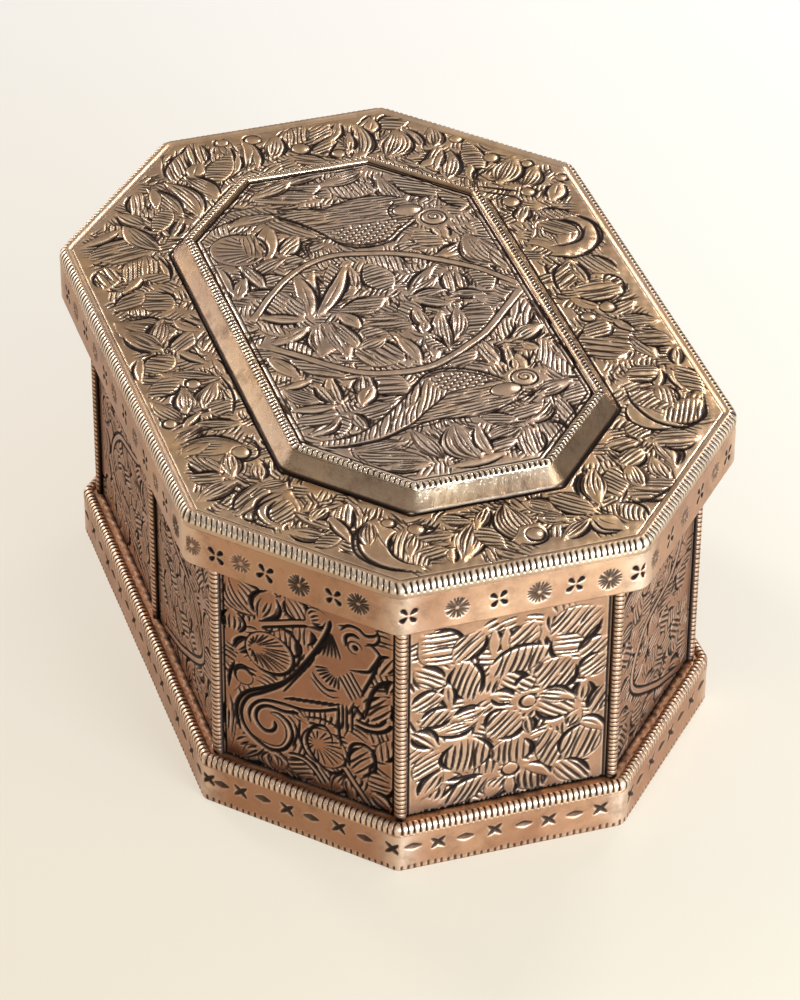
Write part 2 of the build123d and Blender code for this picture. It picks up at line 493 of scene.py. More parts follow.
FIELD_LEAVES = [
    (-36.5, 22, -45.5, 15, 2.7, 0.1, 60), (-31, 25.5, -38, 21.5, 1.4, 0.1, 60),
    (-35, 14, -46.5, 12.5, 1.9, 0.15), (-44, 1.5, -41.5, 11, 3, 0, 8, -1),
    (-48.5, 10, -46, 0, 1.8, 0.1), (-46.5, 1, -43, -9, 2.2, 0, 75), (-50, 3, -48.5, -8, 1.4),
    (-42.5, -1, -44.5, -13, 2.4, 0, 70, -1), (-49, -4, -45.5, -13, 1.6, 0.1),
    (-39.5, -14, -44, -20, 1.6, 0.1, "along", 2), (-39, -5, -33, -1.5, 2, 0.1, 15),
    (-38.5, -9, -37, -20, 1.8, -0.1, "along", 0), (-23.5, -16, -36, -12, 2.2, 0.12, "plain"),
    (-24, -13, -31, -8.5, 1.8, 0, 130, 2), (-35.5, -13, -29, -5, 1.6, 0.1, 40, 0),
    (-24.5, -13, -21.5, -9.5, 1.6, 0, 100), (-19.5, -21, -24, -12, 1.6, 0.1, "along", 0),
    (-19, -20.5, -16, -13.5, 1.6, 0.1, 100), (-24, -21.5, -14.5, -19.5, 1.6, 0.1, "along", 2),
    (-13, -25, -19.5, -21.5, 1.7, 0.1, "plain", 2), (-24.5, -25.8, -15, -25.5, 1.2, 0, "plain"),
    (-14.5, -23, -12, -15.5, 1.4, 0.1), (-20, 2, -13.5, 8, 3, 0, 175),
    (-19.5, 10.5, -13.5, 11, 1.6, 0.1, 165), (-24.5, 12, -19, 17, 2.2, 0.1, 75, 0),
    (-19.5, 21, -15.5, 13.5, 1.8, 0.1, "along", -1), (-13, 20.5, -2.5, 20, 2.4, 0.1, 80),
    (-10, 24.5, -22, 22, 3.2, 0.15), (-8, 25.5, -16, 25.8, 1.6, 0.1, 15, 0),
    (-3.5, 15, -11, 15.5, 2.4, 0.1, 172, 2), (-3.5, 13, -1.5, 19, 1.5, 0.1, "along", 2),
    (-5, 5.5, -13.5, 13.5, 1.5, 0.1), (-5, 5.5, -9.5, 12.5, 1.3, 0, "along", 0),
    (-4.5, 5.5, -5, 12.5, 1.5), (-4, 5.5, 0, 12, 1.5, 0, "along", -1),
    (-8, 3, -17.5, 1.5, 2.8, 0.1, 98), (-10, -3.5, -18, -2, 1.7, 0.1),
    (-9.5, -7.5, -19.5, -5, 2.2, -0.1, 18, -1), (-6, 1, -3, -9, 2.6, 0, 78, -1),
    (-3.5, 4.5, 2.5, 3, 2.3, 0.15, 35), (-1, -2, 3.5, 2.5, 1.8, 0.1, 75, 0),
    (-3, -9, 2.5, -6.5, 1.7, 0.2, "plain", 2), (-3, -13, -19, -2.5, 1.5, -0.08, "plain", 2),
    (-3, -13.5, -18.5, -9, 1.5, 0.06, "along", -1), (-3.5, -14, -19, -13, 1.7, -0.12, "plain", -1),
    (-4, -15, -14, -17.5, 3.4, 0.25, 20), (-3, -15, -6.5, -23.5, 1.4, 0, "plain", 2),
    (-1, -15, 3, -24, 1.5, 0.1, "plain"), (-4.5, -24, 1.5, -19, 1.6, 0, 2, 0),
    (-1.5, -13.5, 9.5, -16, 3, 0.2, "along", -1), (-1.5, -12.5, 12, -11.5, 2, 0.18),
    (-1.5, -11, 10, -8.5, 1.6, 0.12), (3, -20.5, 8.5, -17, 1.6, 0.1, 160, 2),
    (10, 12.5, 0, 18, 3.4, 0, 78), (2, 22, -1.5, 16.5, 1.6, 0.1, "along", 0),
    (11, 9, 0.5, 12.5, 1.6, -0.1), (14, 7, 1, 9.5, 1.9, 0.12, "along", 2),
    (6, 6, -1.5, 5.5, 1.4, 0.2), (3.5, 5.5, 7.5, 4, 1.3, 0.1, "plain", 2),
    (7, 4.5, 16, 3.5, 1.8, 0.2), (9, 4, 14, 6.5, 1.3, 0, 100), (0.5, -5, 5, 3, 2.4, 0.1, 80, 0),
    (6.5, -1, 17, 0.5, 1.5, 0.15, "plain"), (2.5, -6, 8, -2, 1.9, 0, 100, 0),
    (8, -9, 14.5, -1.5, 3.9, 0, 25), (8.5, -8.5, 6.5, -2.5, 1.7, 0, "along", 0),
    (1, 24.5, 11, 21, 2.2, 0.1, 155), (3, 26.5, 14, 25.5, 1.2, 0.1),
    (14.5, 19, 11, 26, 2, 0.1, "along", -1), (7, 21, 14, 16, 1.8, 0, 170),
    (15, 23, 28, 24.5, 3, 0.12, 160), (16, 25.3, 25, 26.7, 1, 0, "along", 0),
    (15.5, 20, 18.5, 22.5, 1.4, 0, "plain"), (13, 13.5, 21, 13, 2, 0.1, 8),
    (15, 17, 22.5, 15.5, 1.2, 0.1, "along", 2), (15.5, 11.5, 18.5, 5.5, 1.8, 0, 100, 0),
    (16.8, -10, 24, -3.5, 3.2, -0.05, 75, -1), (16.5, -10.5, 23.5, -13, 1.9, 0.2, "along", 2),
    (28, -14.5, 27.5, -8, 3, 0, 100), (20.5, -9.5, 26, -13.5, 1.6, 0, "plain"),
    (27, -16, 33.5, -15, 1.3, 0.1), (27.5, -17, 33.5, -19.5, 1.5, 0, 40, 0),
    (28, -18, 32, -25, 1.6, 0.1), (26.5, -18, 27.5, -26, 2.3, 0, 85, 0),
    (24.5, -17.5, 23.5, -26, 1.3, 0.05, "plain", 2), (24.5, -16.8, 15, -16, 1.6, 0.12, "along", 2),
    (24, -17.8, 16.5, -19.5, 1.2), (22.5, -20, 17, -25.5, 1.9, 0.1, "along", 0),
    (15.5, -19.5, 17, -25.5, 0.9, 0, "plain"), (6.5, -25.3, 15, -21.5, 1.7, 0.1, "plain"),
    (8.5, -21.5, 17, -13.5, 2, 0, 60), (36.5, 21.5, 31, 27, 2.3, 0, 100, -1),
    (32, 17, 29.5, 25, 1.8, 0.1, "along", -1), (33.5, 20.5, 43.5, 19.5, 1.5, 0.1, 10),
    (40.5, 14, 46, 18.5, 3, 0, 2), (34.5, 19, 39.5, 12.5, 1.9, 0.1),
    (34.5, 17.5, 37, 9, 1.7, 0.1, 100, 0), (40.5, 12.5, 49, 9.8, 2.6, 0.1, 175, 2),
    (40.5, 11.5, 42.5, 4, 2.3, 0, "along", 0), (43.5, 9.5, 45.5, 2.5, 1.8, 0, 100, -1),
    (38, 11.5, 34.5, 5.5, 1.8, 0.1, 70, -1), (46.5, 7, 47.8, -5, 1.1, 0.1, "plain"),
    (47.5, 1.5, 35.5, 0.5, 3.9, 0.12), (47, 4, 37, 4.5, 1.3, 0.15, "plain", 2),
    (45.5, -4.5, 35, -7.5, 1.8, 0, "along", 0), (46, -7, 39.5, -18.5, 2.6, 0, 70, 0),
    (46.5, -8, 44.8, -16, 1.5), (38.5, -9, 38.5, -19.5, 1.5, 0, "along", 0),
]

BORDER_LEAVES = [
    (-47, -38, -43, -47.5, 1.1, 0.1, "plain"), (-38.5, -34, -39, -46.5, 4.2, -0.1, 98, -1),
    (-36, -35.5, -29, -42, 3.2, 0.1, 165, 0), (-35, -44, -27.5, -46.5, 2.4, 0, 10, -1),
    (-30.5, -38.5, -25.8, -43.5, 1, 0.1, "plain"), (-36.5, -33.7, -26.5, -34.5, 0.9, 0.1, "plain"),
    (-27, -33.5, -30.5, -38.5, 1.4, 0, 95, 0), (-18, -36, -25, -39.5, 3.2, 0.1, 75, -1),
    (-25.5, -40, -20.5, -46.5, 2.2, 0.1, 100, -1), (-11, -37, -17, -47.5, 4.4, 0.25, "along", -1),
    (-15.5, -38.5, -5.8, -42.5, 1.9, -0.1, "along", -1), (-4, -39.5, -10.5, -35, 2.1, 0, 125),
    (-14.5, -37, -9.5, -32.8, 1.4, -0.1, "plain"), (-4.5, -39, 1, -35, 1.2, 0.1, "plain", 2),
    (-5.5, -41.5, -13.5, -47, 2.5), (-3.5, -40, 0.5, -46.5, 2.7, 0, 58, -1),
    (-4.5, -45.5, 3.5, -47.8, 1, -0.15, "plain", -1), (-1, -33.5, 6, -32.8, 0.9, 0.1, "plain"),
    (6, -33.5, 1.5, -44, 2.8, 0.2, "along", 0), (4, -41, 7.5, -47.8, 2.2, 0, 80),
    (14.5, -39.5, 6.8, -34.8, 2.3, 0.05), (15.5, -38.5, 14, -33.5, 2.3, 0, 100, 0),
    (15, -42.5, 7, -40.8, 1.9, 0.05), (17, -43.5, 9.3, -47.8, 1.8, 0.1, "along", 0),
    (18.7, -44.2, 15, -40, 1, 0, "plain", 2), (18.5, -42, 20.8, -33.8, 1.7),
    (19.5, -41, 23.5, -47.5, 1.5, 0.05), (25.5, -47.5, 29, -34.8, 2.8, 0.28),
    (26.5, -47, 25, -41, 1.4, 0, "plain", 0), (28, -38.7, 36, -40.2, 1.8, 0.05),
    (38.5, -35.8, 32, -34.6, 1.5, 0, "along", -1), (34, -41.8, 27.8, -45.8, 2.2, 0, 25),
    (35.5, -41.5, 33.5, -47.6, 2, 0, 80, -1), (37, -39.5, 40.8, -48, 1.9),
    (39, -34.8, 47.3, -42.3, 2.6, -0.08, 125, -1), (39.8, -31.2, 40, -37, 1.2, 0, "along", 0),
    (42.3, -31.5, 53, -36.3, 3.6, -0.25, "plain", -1), (44.5, -33, 52, -35.5, 2.3, -0.15, 118, -1),
    (57.3, -29.3, 53.3, -36, 1.8), (48.5, -33, 56, -27.2, 1.5),
    (59.5, -32.5, 57, -26.3, 1.6, 0, 65, 0), (57, -27.5, 49, -23, 2.2, 0.1, 160, -1),
    (51.5, -27.8, 60.5, -26, 1.2, 0.1, "plain", 2), (49, -27, 52, -31, 1.5),
    (54.5, -20.2, 71, -16.5, 4, -0.28, "plain", -1),
    (55, -21.3, 62.5, -23.5, 1.5, -0.1, "along", -1),
    (58.6, -15.5, 70.3, -15.3, 3.2, -0.25, 155, -1), (60.8, -14.5, 67, -18, 1.4, 0, "along", 0),
    (61, -15, 63, -8.5, 2, 0, 82, 0), (66, -16, 67.5, -10.5, 1.9, 0, 100, 0),
    (60.3, -3.8, 70.8, -9.5, 2.4, 0.05), (57.5, -9.5, 61, -4.5, 1.5, 0, 70),
    (66.5, -10, 71, -11.3, 0.9, 0, "plain"), (61.5, -4.2, 69, -1.2, 2, -0.05, 62, 0),
    (57, 2.5, 69.5, 4.8, 3, -0.22, "along", -1), (57, -0.5, 63, -4.5, 1.2),
    (64, 6.5, 67.5, 0.5, 2.6, 0.35, "plain"), (57.3, 5.5, 62.8, 11.2, 2.2, 0.1),
    (62.3, 6.5, 64.8, 11.8, 1.6, 0, "along", 0), (65.5, 15.5, 70, 8.5, 1.6),
    (57.3, 10.8, 64.2, 17, 2.5, 0, 48, -1), (64.8, 16, 70, 20.5, 2.6, -0.2, "plain", -1),
    (63, 21.5, 69, 24.3, 2.4, 0, 160), (60.5, 24, 59.5, 34, 3, -0.15, 70, -1),
    (61, 22, 52.5, 24.5, 2.4, 0, 30), (59, 32.3, 51.5, 31.8, 1.8, 0, "along", 0),
    (60, 27, 52, 27.5, 2, 0, "along", 0), (46.5, 33.5, 56, 34.5, 2.2, 0.3),
    (47, 33.8, 48.5, 42, 3, 0, 78, -1), (46.3, 32.5, 39.3, 32.8, 2.3, 0, 115, -1),
    (47, 31, 45.8, 25, 2, 0, 100), (49, 31, 52.8, 25.8, 2.2, 0, 120),
    (51.5, 19.8, 60.3, 15.6, 1.7, 0, "along", -1), (52, 21, 62.5, 18.5, 2.2, -0.15, "along", -1),
    (33, 36, 43.5, 42.5, 4.8, -0.35, "plain", -1), (37.5, 46, 41.5, 37.5, 3.4, 0.2, 155),
    (32, 34.8, 39, 40.8, 2.6, 0, 118, 0), (31.5, 40.5, 38, 41, 2, 0.1, 170),
    (27, 43.8, 35, 44.8, 1.2, 0.1, "plain", -1), (26.5, 42.5, 32.3, 40, 1.2, 0, "plain", 2),
    (26.5, 46, 36.5, 47.3, 2.2, 0.05, 52), (20.5, 48.3, 27, 46, 1.2, 0, "along", 2),
    (26.5, 42.5, 28, 35.5, 2.4, 0, 75), (11.5, 40.5, 22, 36, 5.6, -0.25, 60, -1),
    (15, 41, 23.5, 43.5, 2, 0.1), (9.2, 41, 12, 48, 2.1, 0, 82),
    (14.8, 42.5, 19.5, 48, 2.4, 0, 75, -1), (7.8, 41, 4.5, 46, 2, 0.1, 110),
    (9, 40.2, 13.8, 42.6, 1.1, 0, "plain", 2), (9.3, 38.8, 13.5, 33.6, 2.5, 0, 100),
    (5, 39.5, 0, 35, 1.4, 0.1, "plain", -1), (-2.5, 36.5, 0, 45.3, 3.6, 0, 88, -1),
    (-12.3, 39.2, -2.8, 34.3, 2.2, 0, 125, -1), (-12.8, 41, -4.8, 46.3, 2.6, 0, 20),
    (-11.5, 39, -3, 39.5, 1.3, 0.1), (-26.5, 37, -13, 38, 7.4, 0.45, "plain"),
    (-25.5, 37.5, -16.5, 38.5, 4.8, 0.42), (-25.5, 38, -20.5, 44, 2.6, 0, 42),
    (-29.5, 38, -26, 46, 1.9, 0, 15), (-32, 37.5, -27, 34.5, 1.6, 0, "along", 2),
    (-38.3, 46.3, -32, 42.5, 1.9, 0.1, "plain", 2), (-38.5, 39, -45.3, 44, 2.4, -0.1, "along", -1),
    (-41, 35, -49.8, 41, 2.9, -0.12, "along", -1), (-46, 33, -57.5, 34, 2.2, 0, 78, -1),
    (-49, 32, -43.5, 30.5, 1.1, 0, "plain"), (-45.5, 26, -55, 30, 2.1, -0.1, "along", -1),
    (-49.5, 25, -57.5, 28.5, 1.8, 0, 150, 2), (-53.5, 25.8, -51.3, 22.5, 1.2, 0, "plain", -1),
    (-57, 27.3, -65.3, 29.3, 1.9, -0.1, "along", -1),
    (-57.5, 25, -66.3, 23, 1.5, -0.2, "along", -1),
    (-56.5, 17.5, -65.8, 22.2, 3.3, -0.2, "along", -1), (-66.8, 19, -70.8, 26.8, 2.6, 0, 68),
    (-66, 16.8, -71, 18.8, 1.5, -0.2, "plain", -1),
    (-57.3, 11.8, -70, 15.2, 2.2, -0.22, "along", 2), (-60, 11, -67.5, 13, 1.2, -0.1, "along", -1),
    (-65.3, 8.8, -71.8, 12.3, 1.3, -0.1, "plain", 2), (-66, 6, -71.8, 10.2, 2.2, 0, 118, 0),
    (-61.5, 4.8, -65.8, 9, 1.8, 0, 108), (-66.3, 1, -72.6, 5.4, 2.3, 0, 165, 0),
    (-62, 0, -57.3, 6, 1.9, 0, 60), (-62.5, -4, -70.8, -1, 2, -0.15, "along", -1),
    (-59.5, -10, -71, -7.8, 2, -0.3, "along", -1), (-60, -7.5, -67, -6, 0.9, -0.1, "plain", -1),
    (-60, -11.8, -66.5, -9.8, 0.9, -0.1, "plain", 2),
    (-63.5, -11.5, -70, -10.6, 0.7, 0, "plain", -1), (-57, -17.5, -66.3, -11, 2.4, 0, 70, 0),
    (-64.3, -18.7, -72.8, -16.8, 2.5, 0, 175, 2), (-60, -25, -69.5, -19.8, 2.1, 0, 178, 2),
    (-60, -20, -65, -17, 1.8, 0.2, "plain", 0), (-61.5, -22, -51.5, -17.6, 2, 0.2),
    (-60.5, -26.3, -46, -22.8, 2.6, 0.2), (-59.5, -29.8, -47.3, -26, 2, 0.12),
    (-59, -28.8, -51.5, -30, 1.1, 0.05, "plain", 0), (-58.5, -31.5, -50.5, -34.6, 1.7, 0, 168, -1),
    (-50.5, -33.8, -44, -30.8, 1.2, 0, "along", 2), (-51, -27.5, -43.5, -32.3, 1.9, 0, 55, 0),
    (-46.8, -26, -41, -30, 1.1, 0, "along", 2), (-37.5, -33, -48.5, -37.3, 2.4, 0.12, "along", -1),
    (-46.5, -33.5, -52.5, -37.8, 1.8),
]

BORDER_BERRIES = [
    (6.2, -39, 1.4, 200), (17, -46.3, 1.3, 270), (67, 4.8, 1.7, 10), (5, 40.6, 1.6, 60),
    (7, 36, 1.5, 270), (-34.2, 35.4, 1.8, 100), (-36.6, 39.6, 1.5, 90), (-39.6, 47.4, 1.3, 100),
    (-50.4, 36.8, 1.6, 90), (-64.4, 2.6, 1.9, 90), (-70.3, -5.5, 1.7, 200), (-71, -11.6, 1.4, 230),
    (-46.3, 42.8, 1.2, 80), (-59, 32.5, 1.4, 90), (-60.5, 8.8, 1.5, 250), (47.5, -40.3, 1.2, 300),
    (59.6, -14.2, 1.6, 90), (56.5, -18.3, 1.3, 60), (29, -36.6, 1.7, 40),
]

BORDER_STROKES = [
    ([(5, -33.6), (9, -32.9), (13, -33.2), (17.5, -34.8)], 0.8),
    ([(25.5, -34.3), (28, -33.2), (30.8, -34), (31.5, -36.5), (29.5, -38.2)], 0.7),
    ([(-36, -34), (-31, -33), (-27, -34)], 0.8),
    ([(43, -33), (45, -38), (49, -40), (52.8, -37)], 0.8),
    ([(55, -22), (58, -25), (63, -26), (68, -23), (71.5, -17.5)], 0.9),
    ([(58.5, -12.5), (60.3, -11.2), (61.8, -14)], 0.8),
    ([(66, 15.6), (69, 16.4), (70.5, 19.5)], 0.6),
    ([(62.5, 21.5), (63.3, 27), (60.3, 33.5)], 0.8),
    ([(49, 35.2), (52, 36.7), (55.5, 35)], 0.8),
    ([(36, 47.5), (42, 45.5), (44.7, 41), (42, 36.5), (36, 34.4), (30, 34.6)], 0.9),
    ([(-26, 45.5), (-22, 47.8), (-16, 46.3), (-12.6, 41), (-15, 35)], 0.9),
    ([(-22, 46), (-17.5, 43), (-17, 37)], 0.7),
    ([(-12, 34.5), (-10, 34), (-8.3, 34.1)], 0.9),
    ([(-6.3, 34.1), (-3.2, 34)], 0.9),
    ([(4, 41), (1.2, 45.2), (-3, 46.2), (-5.2, 44), (-2.2, 42.3)], 0.6),
    ([(-41.5, 31), (-37.5, 38)], 0.8),
    ([(-39.7, 31), (-35.8, 37)], 0.7),
    ([(-47, 34.5), (-46.7, 32.2), (-43.8, 30.8)], 0.8),
    ([(-56, 30), (-52, 31), (-49.5, 30)], 0.7),
    ([(-65, 10.2), (-61, 7.5), (-58.7, 8.6)], 0.8),
    ([(-73, 20), (-70.6, 16.6)], 0.7),
    ([(21, -36), (20.5, -41), (22.5, -45)], 0.6),
]


def lid_border_sheet():
    low, high = (-half_length, -half_width), (half_length, half_width)
    sheet = Sheet(low, high, 0.9, 0.5, 0.75)
    sheet.thicket(low, high, lambda p: 4.4 < inset_of(*p) < bevel_foot_inset - 0.7)
    sheet.leaves(BORDER_LEAVES)
    for x, y, radius, turn in BORDER_BERRIES:
        sheet.berry((x, y), radius, turn)
    sheet.strokes(BORDER_STROKES)
    sheet.rails([(rim_inset + 0.9, 0.5), (bevel_foot_inset - 0.1, 1.0)])
    return sheet.settle(0.6)


def inset_of(x, y):
    """How far in from the skirt's face a point in plan lies."""
    best = 1e9
    for k in range(8):
        start, _, normal, _ = side(k, 0)
        best = np.minimum(best, -((x - start[0]) * normal[0] + (y - start[1]) * normal[1]))
    return best


def bird(sheet, mirror, eye, cheek, scales, breast, back, neck, beak):
    """One of the two birds. Its head is at the eye and its tail hangs down."""
    sheet.fill(np.vstack([breast, np.array(back)[::-1]]), 90 - 4 * mirror)
    sheet.scales(scales)
    sheet.stroke(breast, 0.75, (0.05, 0.05))
    sheet.stroke(np.array(breast) + np.array((-0.95 * mirror, -0.35)), 0.45, (0.1, 0.05))
    sheet.stroke(back, 0.55, (0.1, 0.1))
    sheet.clear(oval(eye, 3.5, ROUND))
    sheet.clear(oval(cheek, (2.2, 3.2), ROUND))
    sheet.boss(cheek, (1.9, 2.9), 0.35)
    sheet.stroke(oval(cheek, (1.9, 2.9), ROUND), 0.45)
    sheet.boss(eye, (2.4, 2.4), 0.3)
    sheet.stroke(oval(eye, 2.45, np.linspace(0, 2 * pi, 17)), 0.5, (0.02, 0.02))
    sheet.spiral(eye, 1.6, 1.6, 40)
    sheet.stroke(neck, 0.5)
    sheet.leaves(beak)


def field_birds(sheet):
    bird(sheet, 1, (-29, 18), (-33, 14),
         [(-30.5, 11), (-26.5, 10), (-24.3, 6), (-24.3, 2), (-26.5, -1.5), (-30.5, -2)],
         [(-30, 15.5), (-26.5, 11), (-23.6, 7.5), (-23, 3), (-25, -1), (-29.5, -3.5), (-34, -6.5),
          (-38.5, -11)],
         [(-37, 15), (-39.5, 10), (-39.5, 4), (-38, -1), (-39, -5), (-41, -11)],
         [(-37, 13), (-34, 10.6), (-30.5, 10.4)],
         [(-26.3, 18.6, -21.3, 18.3, 1.2, 0, "plain"),
          (-26.3, 16.6, -22.3, 17.2, 0.7, 0, "plain", -1)])
    bird(sheet, -1, (26, 17), (28.5, 12.6),
         [(22.6, 10), (25.8, 9.5), (26, 4), (25, 0), (21.3, 0.2), (20, 3.5), (20.6, 7.5)],
         [(26.2, 14), (22.5, 11), (19.8, 7), (18.9, 3), (20.3, -0.5), (24.5, -4.2), (28.5, -8.5),
          (32.3, -13.5), (34.4, -18.5), (34.2, -24.5)],
         [(32, 13), (34, 9), (34.6, 4), (33.6, -2), (34.5, -7), (36.6, -13), (37, -19),
          (36, -23.5)],
         [(30, 20), (32.2, 13.5), (34, 9.5)],
         [(23.3, 18.2, 18.2, 18, 1.2, 0, "plain", -1), (23.3, 16.3, 19.5, 17, 0.7, 0, "plain")])


def tail(sheet, inner, outer, angle):
    """A long tail between two lines, feathered at an angle."""
    sheet.fill(np.vstack([inner, np.array(outer)[::-1]]), angle)
    sheet.stroke(inner, 0.6, (0.05, 0.2))
    sheet.stroke(outer, 0.5, (0.05, 0.2))


def lid_field_sheet():
    low, high = field_low[:2], field_high[:2]
    sheet = Sheet(low, high, 0.88, 0.48, 0.75)
    sheet.thicket(low, high, lambda p: inset_of(*p) > field_inset + 2.2)
    sheet.leaves(FIELD_LEAVES)
    sheet.wheel((-29, -20.3), 5.4, (-27, -15.5), 120, 18)
    sheet.fill([(-33.5, -16), (-25, -16.2), (-26, -19), (-33, -19.5)], 172, 0.7, 0.25)
    for r in (3.4, 2.4, 1.5):
        sheet.stroke([(-25.5 - r, -4.4), (-25.3 - 0.8 * r, -6.5 - 0.5 * r), (-23, -6.8 - 0.6 * r)],
                     0.5)
    sheet.stem([(-3, 26), (-10, 20.5), (-15.3, 14), (-19, 8), (-21, 2), (-22, -3.5), (-21, -8.5),
                (-18, -13.5), (-13, -18.5), (-8, -22.5), (-5.5, -24.5)], 0.75)
    sheet.stem([(-1, 25.5), (5, 20), (10, 15.3), (14, 9.5), (17, 4), (18, -0.5), (17.6, -5),
                (16, -10), (12, -15.2), (7, -20), (2.5, -24.8)], 0.85)
    field_birds(sheet)
    tail(sheet, [(-38.6, -8), (-40, -15), (-38.7, -20), (-36.3, -25.5)],
         [(-42.5, -13), (-42, -19), (-39.5, -25)], 35)
    tail(sheet, [(26.6, 2.5), (30, -2.2), (33.8, -7), (36.2, -13), (36.6, -19), (35.8, -23.8)],
         [(20.6, -0.5), (24.5, -4.4), (28.5, -8.7), (32.2, -13.6), (34.2, -18.5), (34, -24)], 155)
    sheet.rails([(field_inset + 0.8, 0.8), (field_inset + 1.75, 0.4)])
    return sheet.settle(0.6)


# These are on the panels: distance along the side, and height

ANIMAL_LEAVES = [
    (8, 47, 2.6, 55.4, 4.4, 0.12, "along", -1), (8.8, 46.6, 11.8, 54.6, 2.8, 0.05, "along", 2),
    (18.2, 49.8, 15, 54.8, 2.4, 0.1, 120, 2), (18.5, 50.4, 23, 53.2, 2.1, 0.1, "along", -1),
    (18, 49, 17.4, 44, 2, 0, 88), (3.2, 40.8, 3.4, 47.2, 2.3, 0, "along", 2),
    (12.8, 40, 14.6, 46.4, 3, -0.1, 92, -1), (2.6, 25.5, 2.2, 10.8, 1.4, 0, "along", -1),
    (9.5, 15, 4.6, 10.6, 2, 0.1), (11.2, 15, 12.4, 10.3, 3.2, 0, "along", 0),
    (14.3, 15.6, 19.3, 11, 2.4, 0.15, 25), (26.4, 16, 23.6, 10.3, 1.9), (27.2, 16, 28, 10.2, 1.5),
    (28.3, 16.8, 30.2, 24.8, 2.5, -0.1, 50, 2), (31, 15, 35.6, 18.6, 2.5, -0.1, 2, -1),
    (31.5, 13.8, 36, 10.8, 1.4, 0, "plain", 2), (33, 22.5, 35.6, 28.5, 1.7, 0, 95, -1),
    (31.2, 31.6, 34.6, 38.8, 2.3, -0.1, 48, 2), (14.5, 28.5, 18.8, 25.3, 1.3, 0, "along", 0),
    (33.2, 43.6, 36.2, 49, 1.7), (34.6, 39.5, 36.4, 43.5, 1),
    (2.5, 26, 4.2, 35.5, 1.2, -0.1, "plain"), (3.5, 36.6, 7.4, 41.5, 1.3, 0, "along", 2),
]

END_LEAVES = [
    (9.5, 46, 3.4, 54, 4, -0.1, 177, -1), (9.3, 46.5, 14.8, 52.8, 2.7, -0.15, 45, -1),
    (16.6, 45.8, 16.8, 52.3, 1.2, -0.15, "plain", -1), (18.8, 46, 19, 52, 1.2, -0.15, "plain", -1),
    (20.5, 45.8, 24.5, 52.6, 2.6, 0, 45, 0), (16, 41, 27.8, 44.8, 3.1, 0.1, 72),
    (27.5, 46.5, 37, 52.5, 4.3, 0, 52, -1), (33.2, 41.3, 28.3, 48.2, 2.9, 0, 174),
    (33, 41, 38.3, 45.3, 2.1, 0.1, 45), (33.3, 36.5, 38.3, 41.3, 2.3, 0, 38),
    (26, 35.3, 31.5, 42, 4, 0, 55, -1), (8, 41, 2.3, 46.5, 2.1, 0, 145, -1),
    (11, 46, 13.3, 35.8, 2.9, 0, 72, 2), (8.7, 41, 9.3, 34.7, 1.3, -0.1, "plain", 2),
    (7.8, 38.3, 1.8, 36.2, 2.2, -0.1, 32, -1), (9.8, 34, 3.2, 32.3, 2.1, 0, 48, 2),
    (15.6, 33.2, 9, 32, 1.6, 0, "along", -1), (14.3, 30.6, 5.8, 29.8, 1.6, 0.2),
    (1.8, 30.8, 6.8, 25.6, 1.8, 0.1, "along", 2), (3.2, 17.5, 7, 25.5, 2.7, 0, 28, 0),
    (7.7, 20.3, 3.3, 13.5, 1.8, 0, "along", -1), (12.2, 18.3, 11.8, 27.2, 4.4, 0, 84, 2),
    (16.8, 16.8, 7.5, 17, 1, 0.2, "plain", 2), (16.3, 16, 7, 11.5, 2.3, 0, 62, -1),
    (19.6, 15.6, 16, 10.4, 2.2), (20.4, 15.4, 20.6, 10, 1.2, 0, "plain"),
    (21.5, 15.4, 26.3, 10.4, 2.6, 0.2, 92), (22.8, 17, 28.3, 12.6, 1.2, 0.25, "plain"),
    (20.4, 18, 21.2, 25.2, 3.8, 0, 88, -1), (28.5, 15.3, 27.3, 25.5, 2.8, 0, 62, 0),
    (31.5, 15.8, 36.5, 25, 3.6, 0, 70), (32.5, 25.8, 38.3, 21.8, 1.3, 0.25, "plain"),
    (28.8, 16.3, 36, 11, 2.3, 0, 128), (31, 24.5, 33.5, 29, 1.4, 0, "along", 0),
    (35.5, 26.8, 38, 34, 1.8, 0, 62), (33.5, 30.3, 34, 35.8, 1.8, 0, "along", 2),
    (21.5, 35.3, 18.6, 40.6, 2.8, -0.1, 140, -1), (21.3, 34.2, 16.2, 36.3, 1.7, 0, "along", 2),
    (21.3, 36, 24.8, 39, 1.6, 0, 140), (21.8, 31, 16, 26, 3.7, 0, 48, 2),
    (25, 32.8, 32.3, 28.8, 3.3, 0, 142, -1), (25, 34.3, 32.4, 31.4, 1.7, 0.1),
    (23.6, 29.3, 24.2, 24.6, 1.2),
]


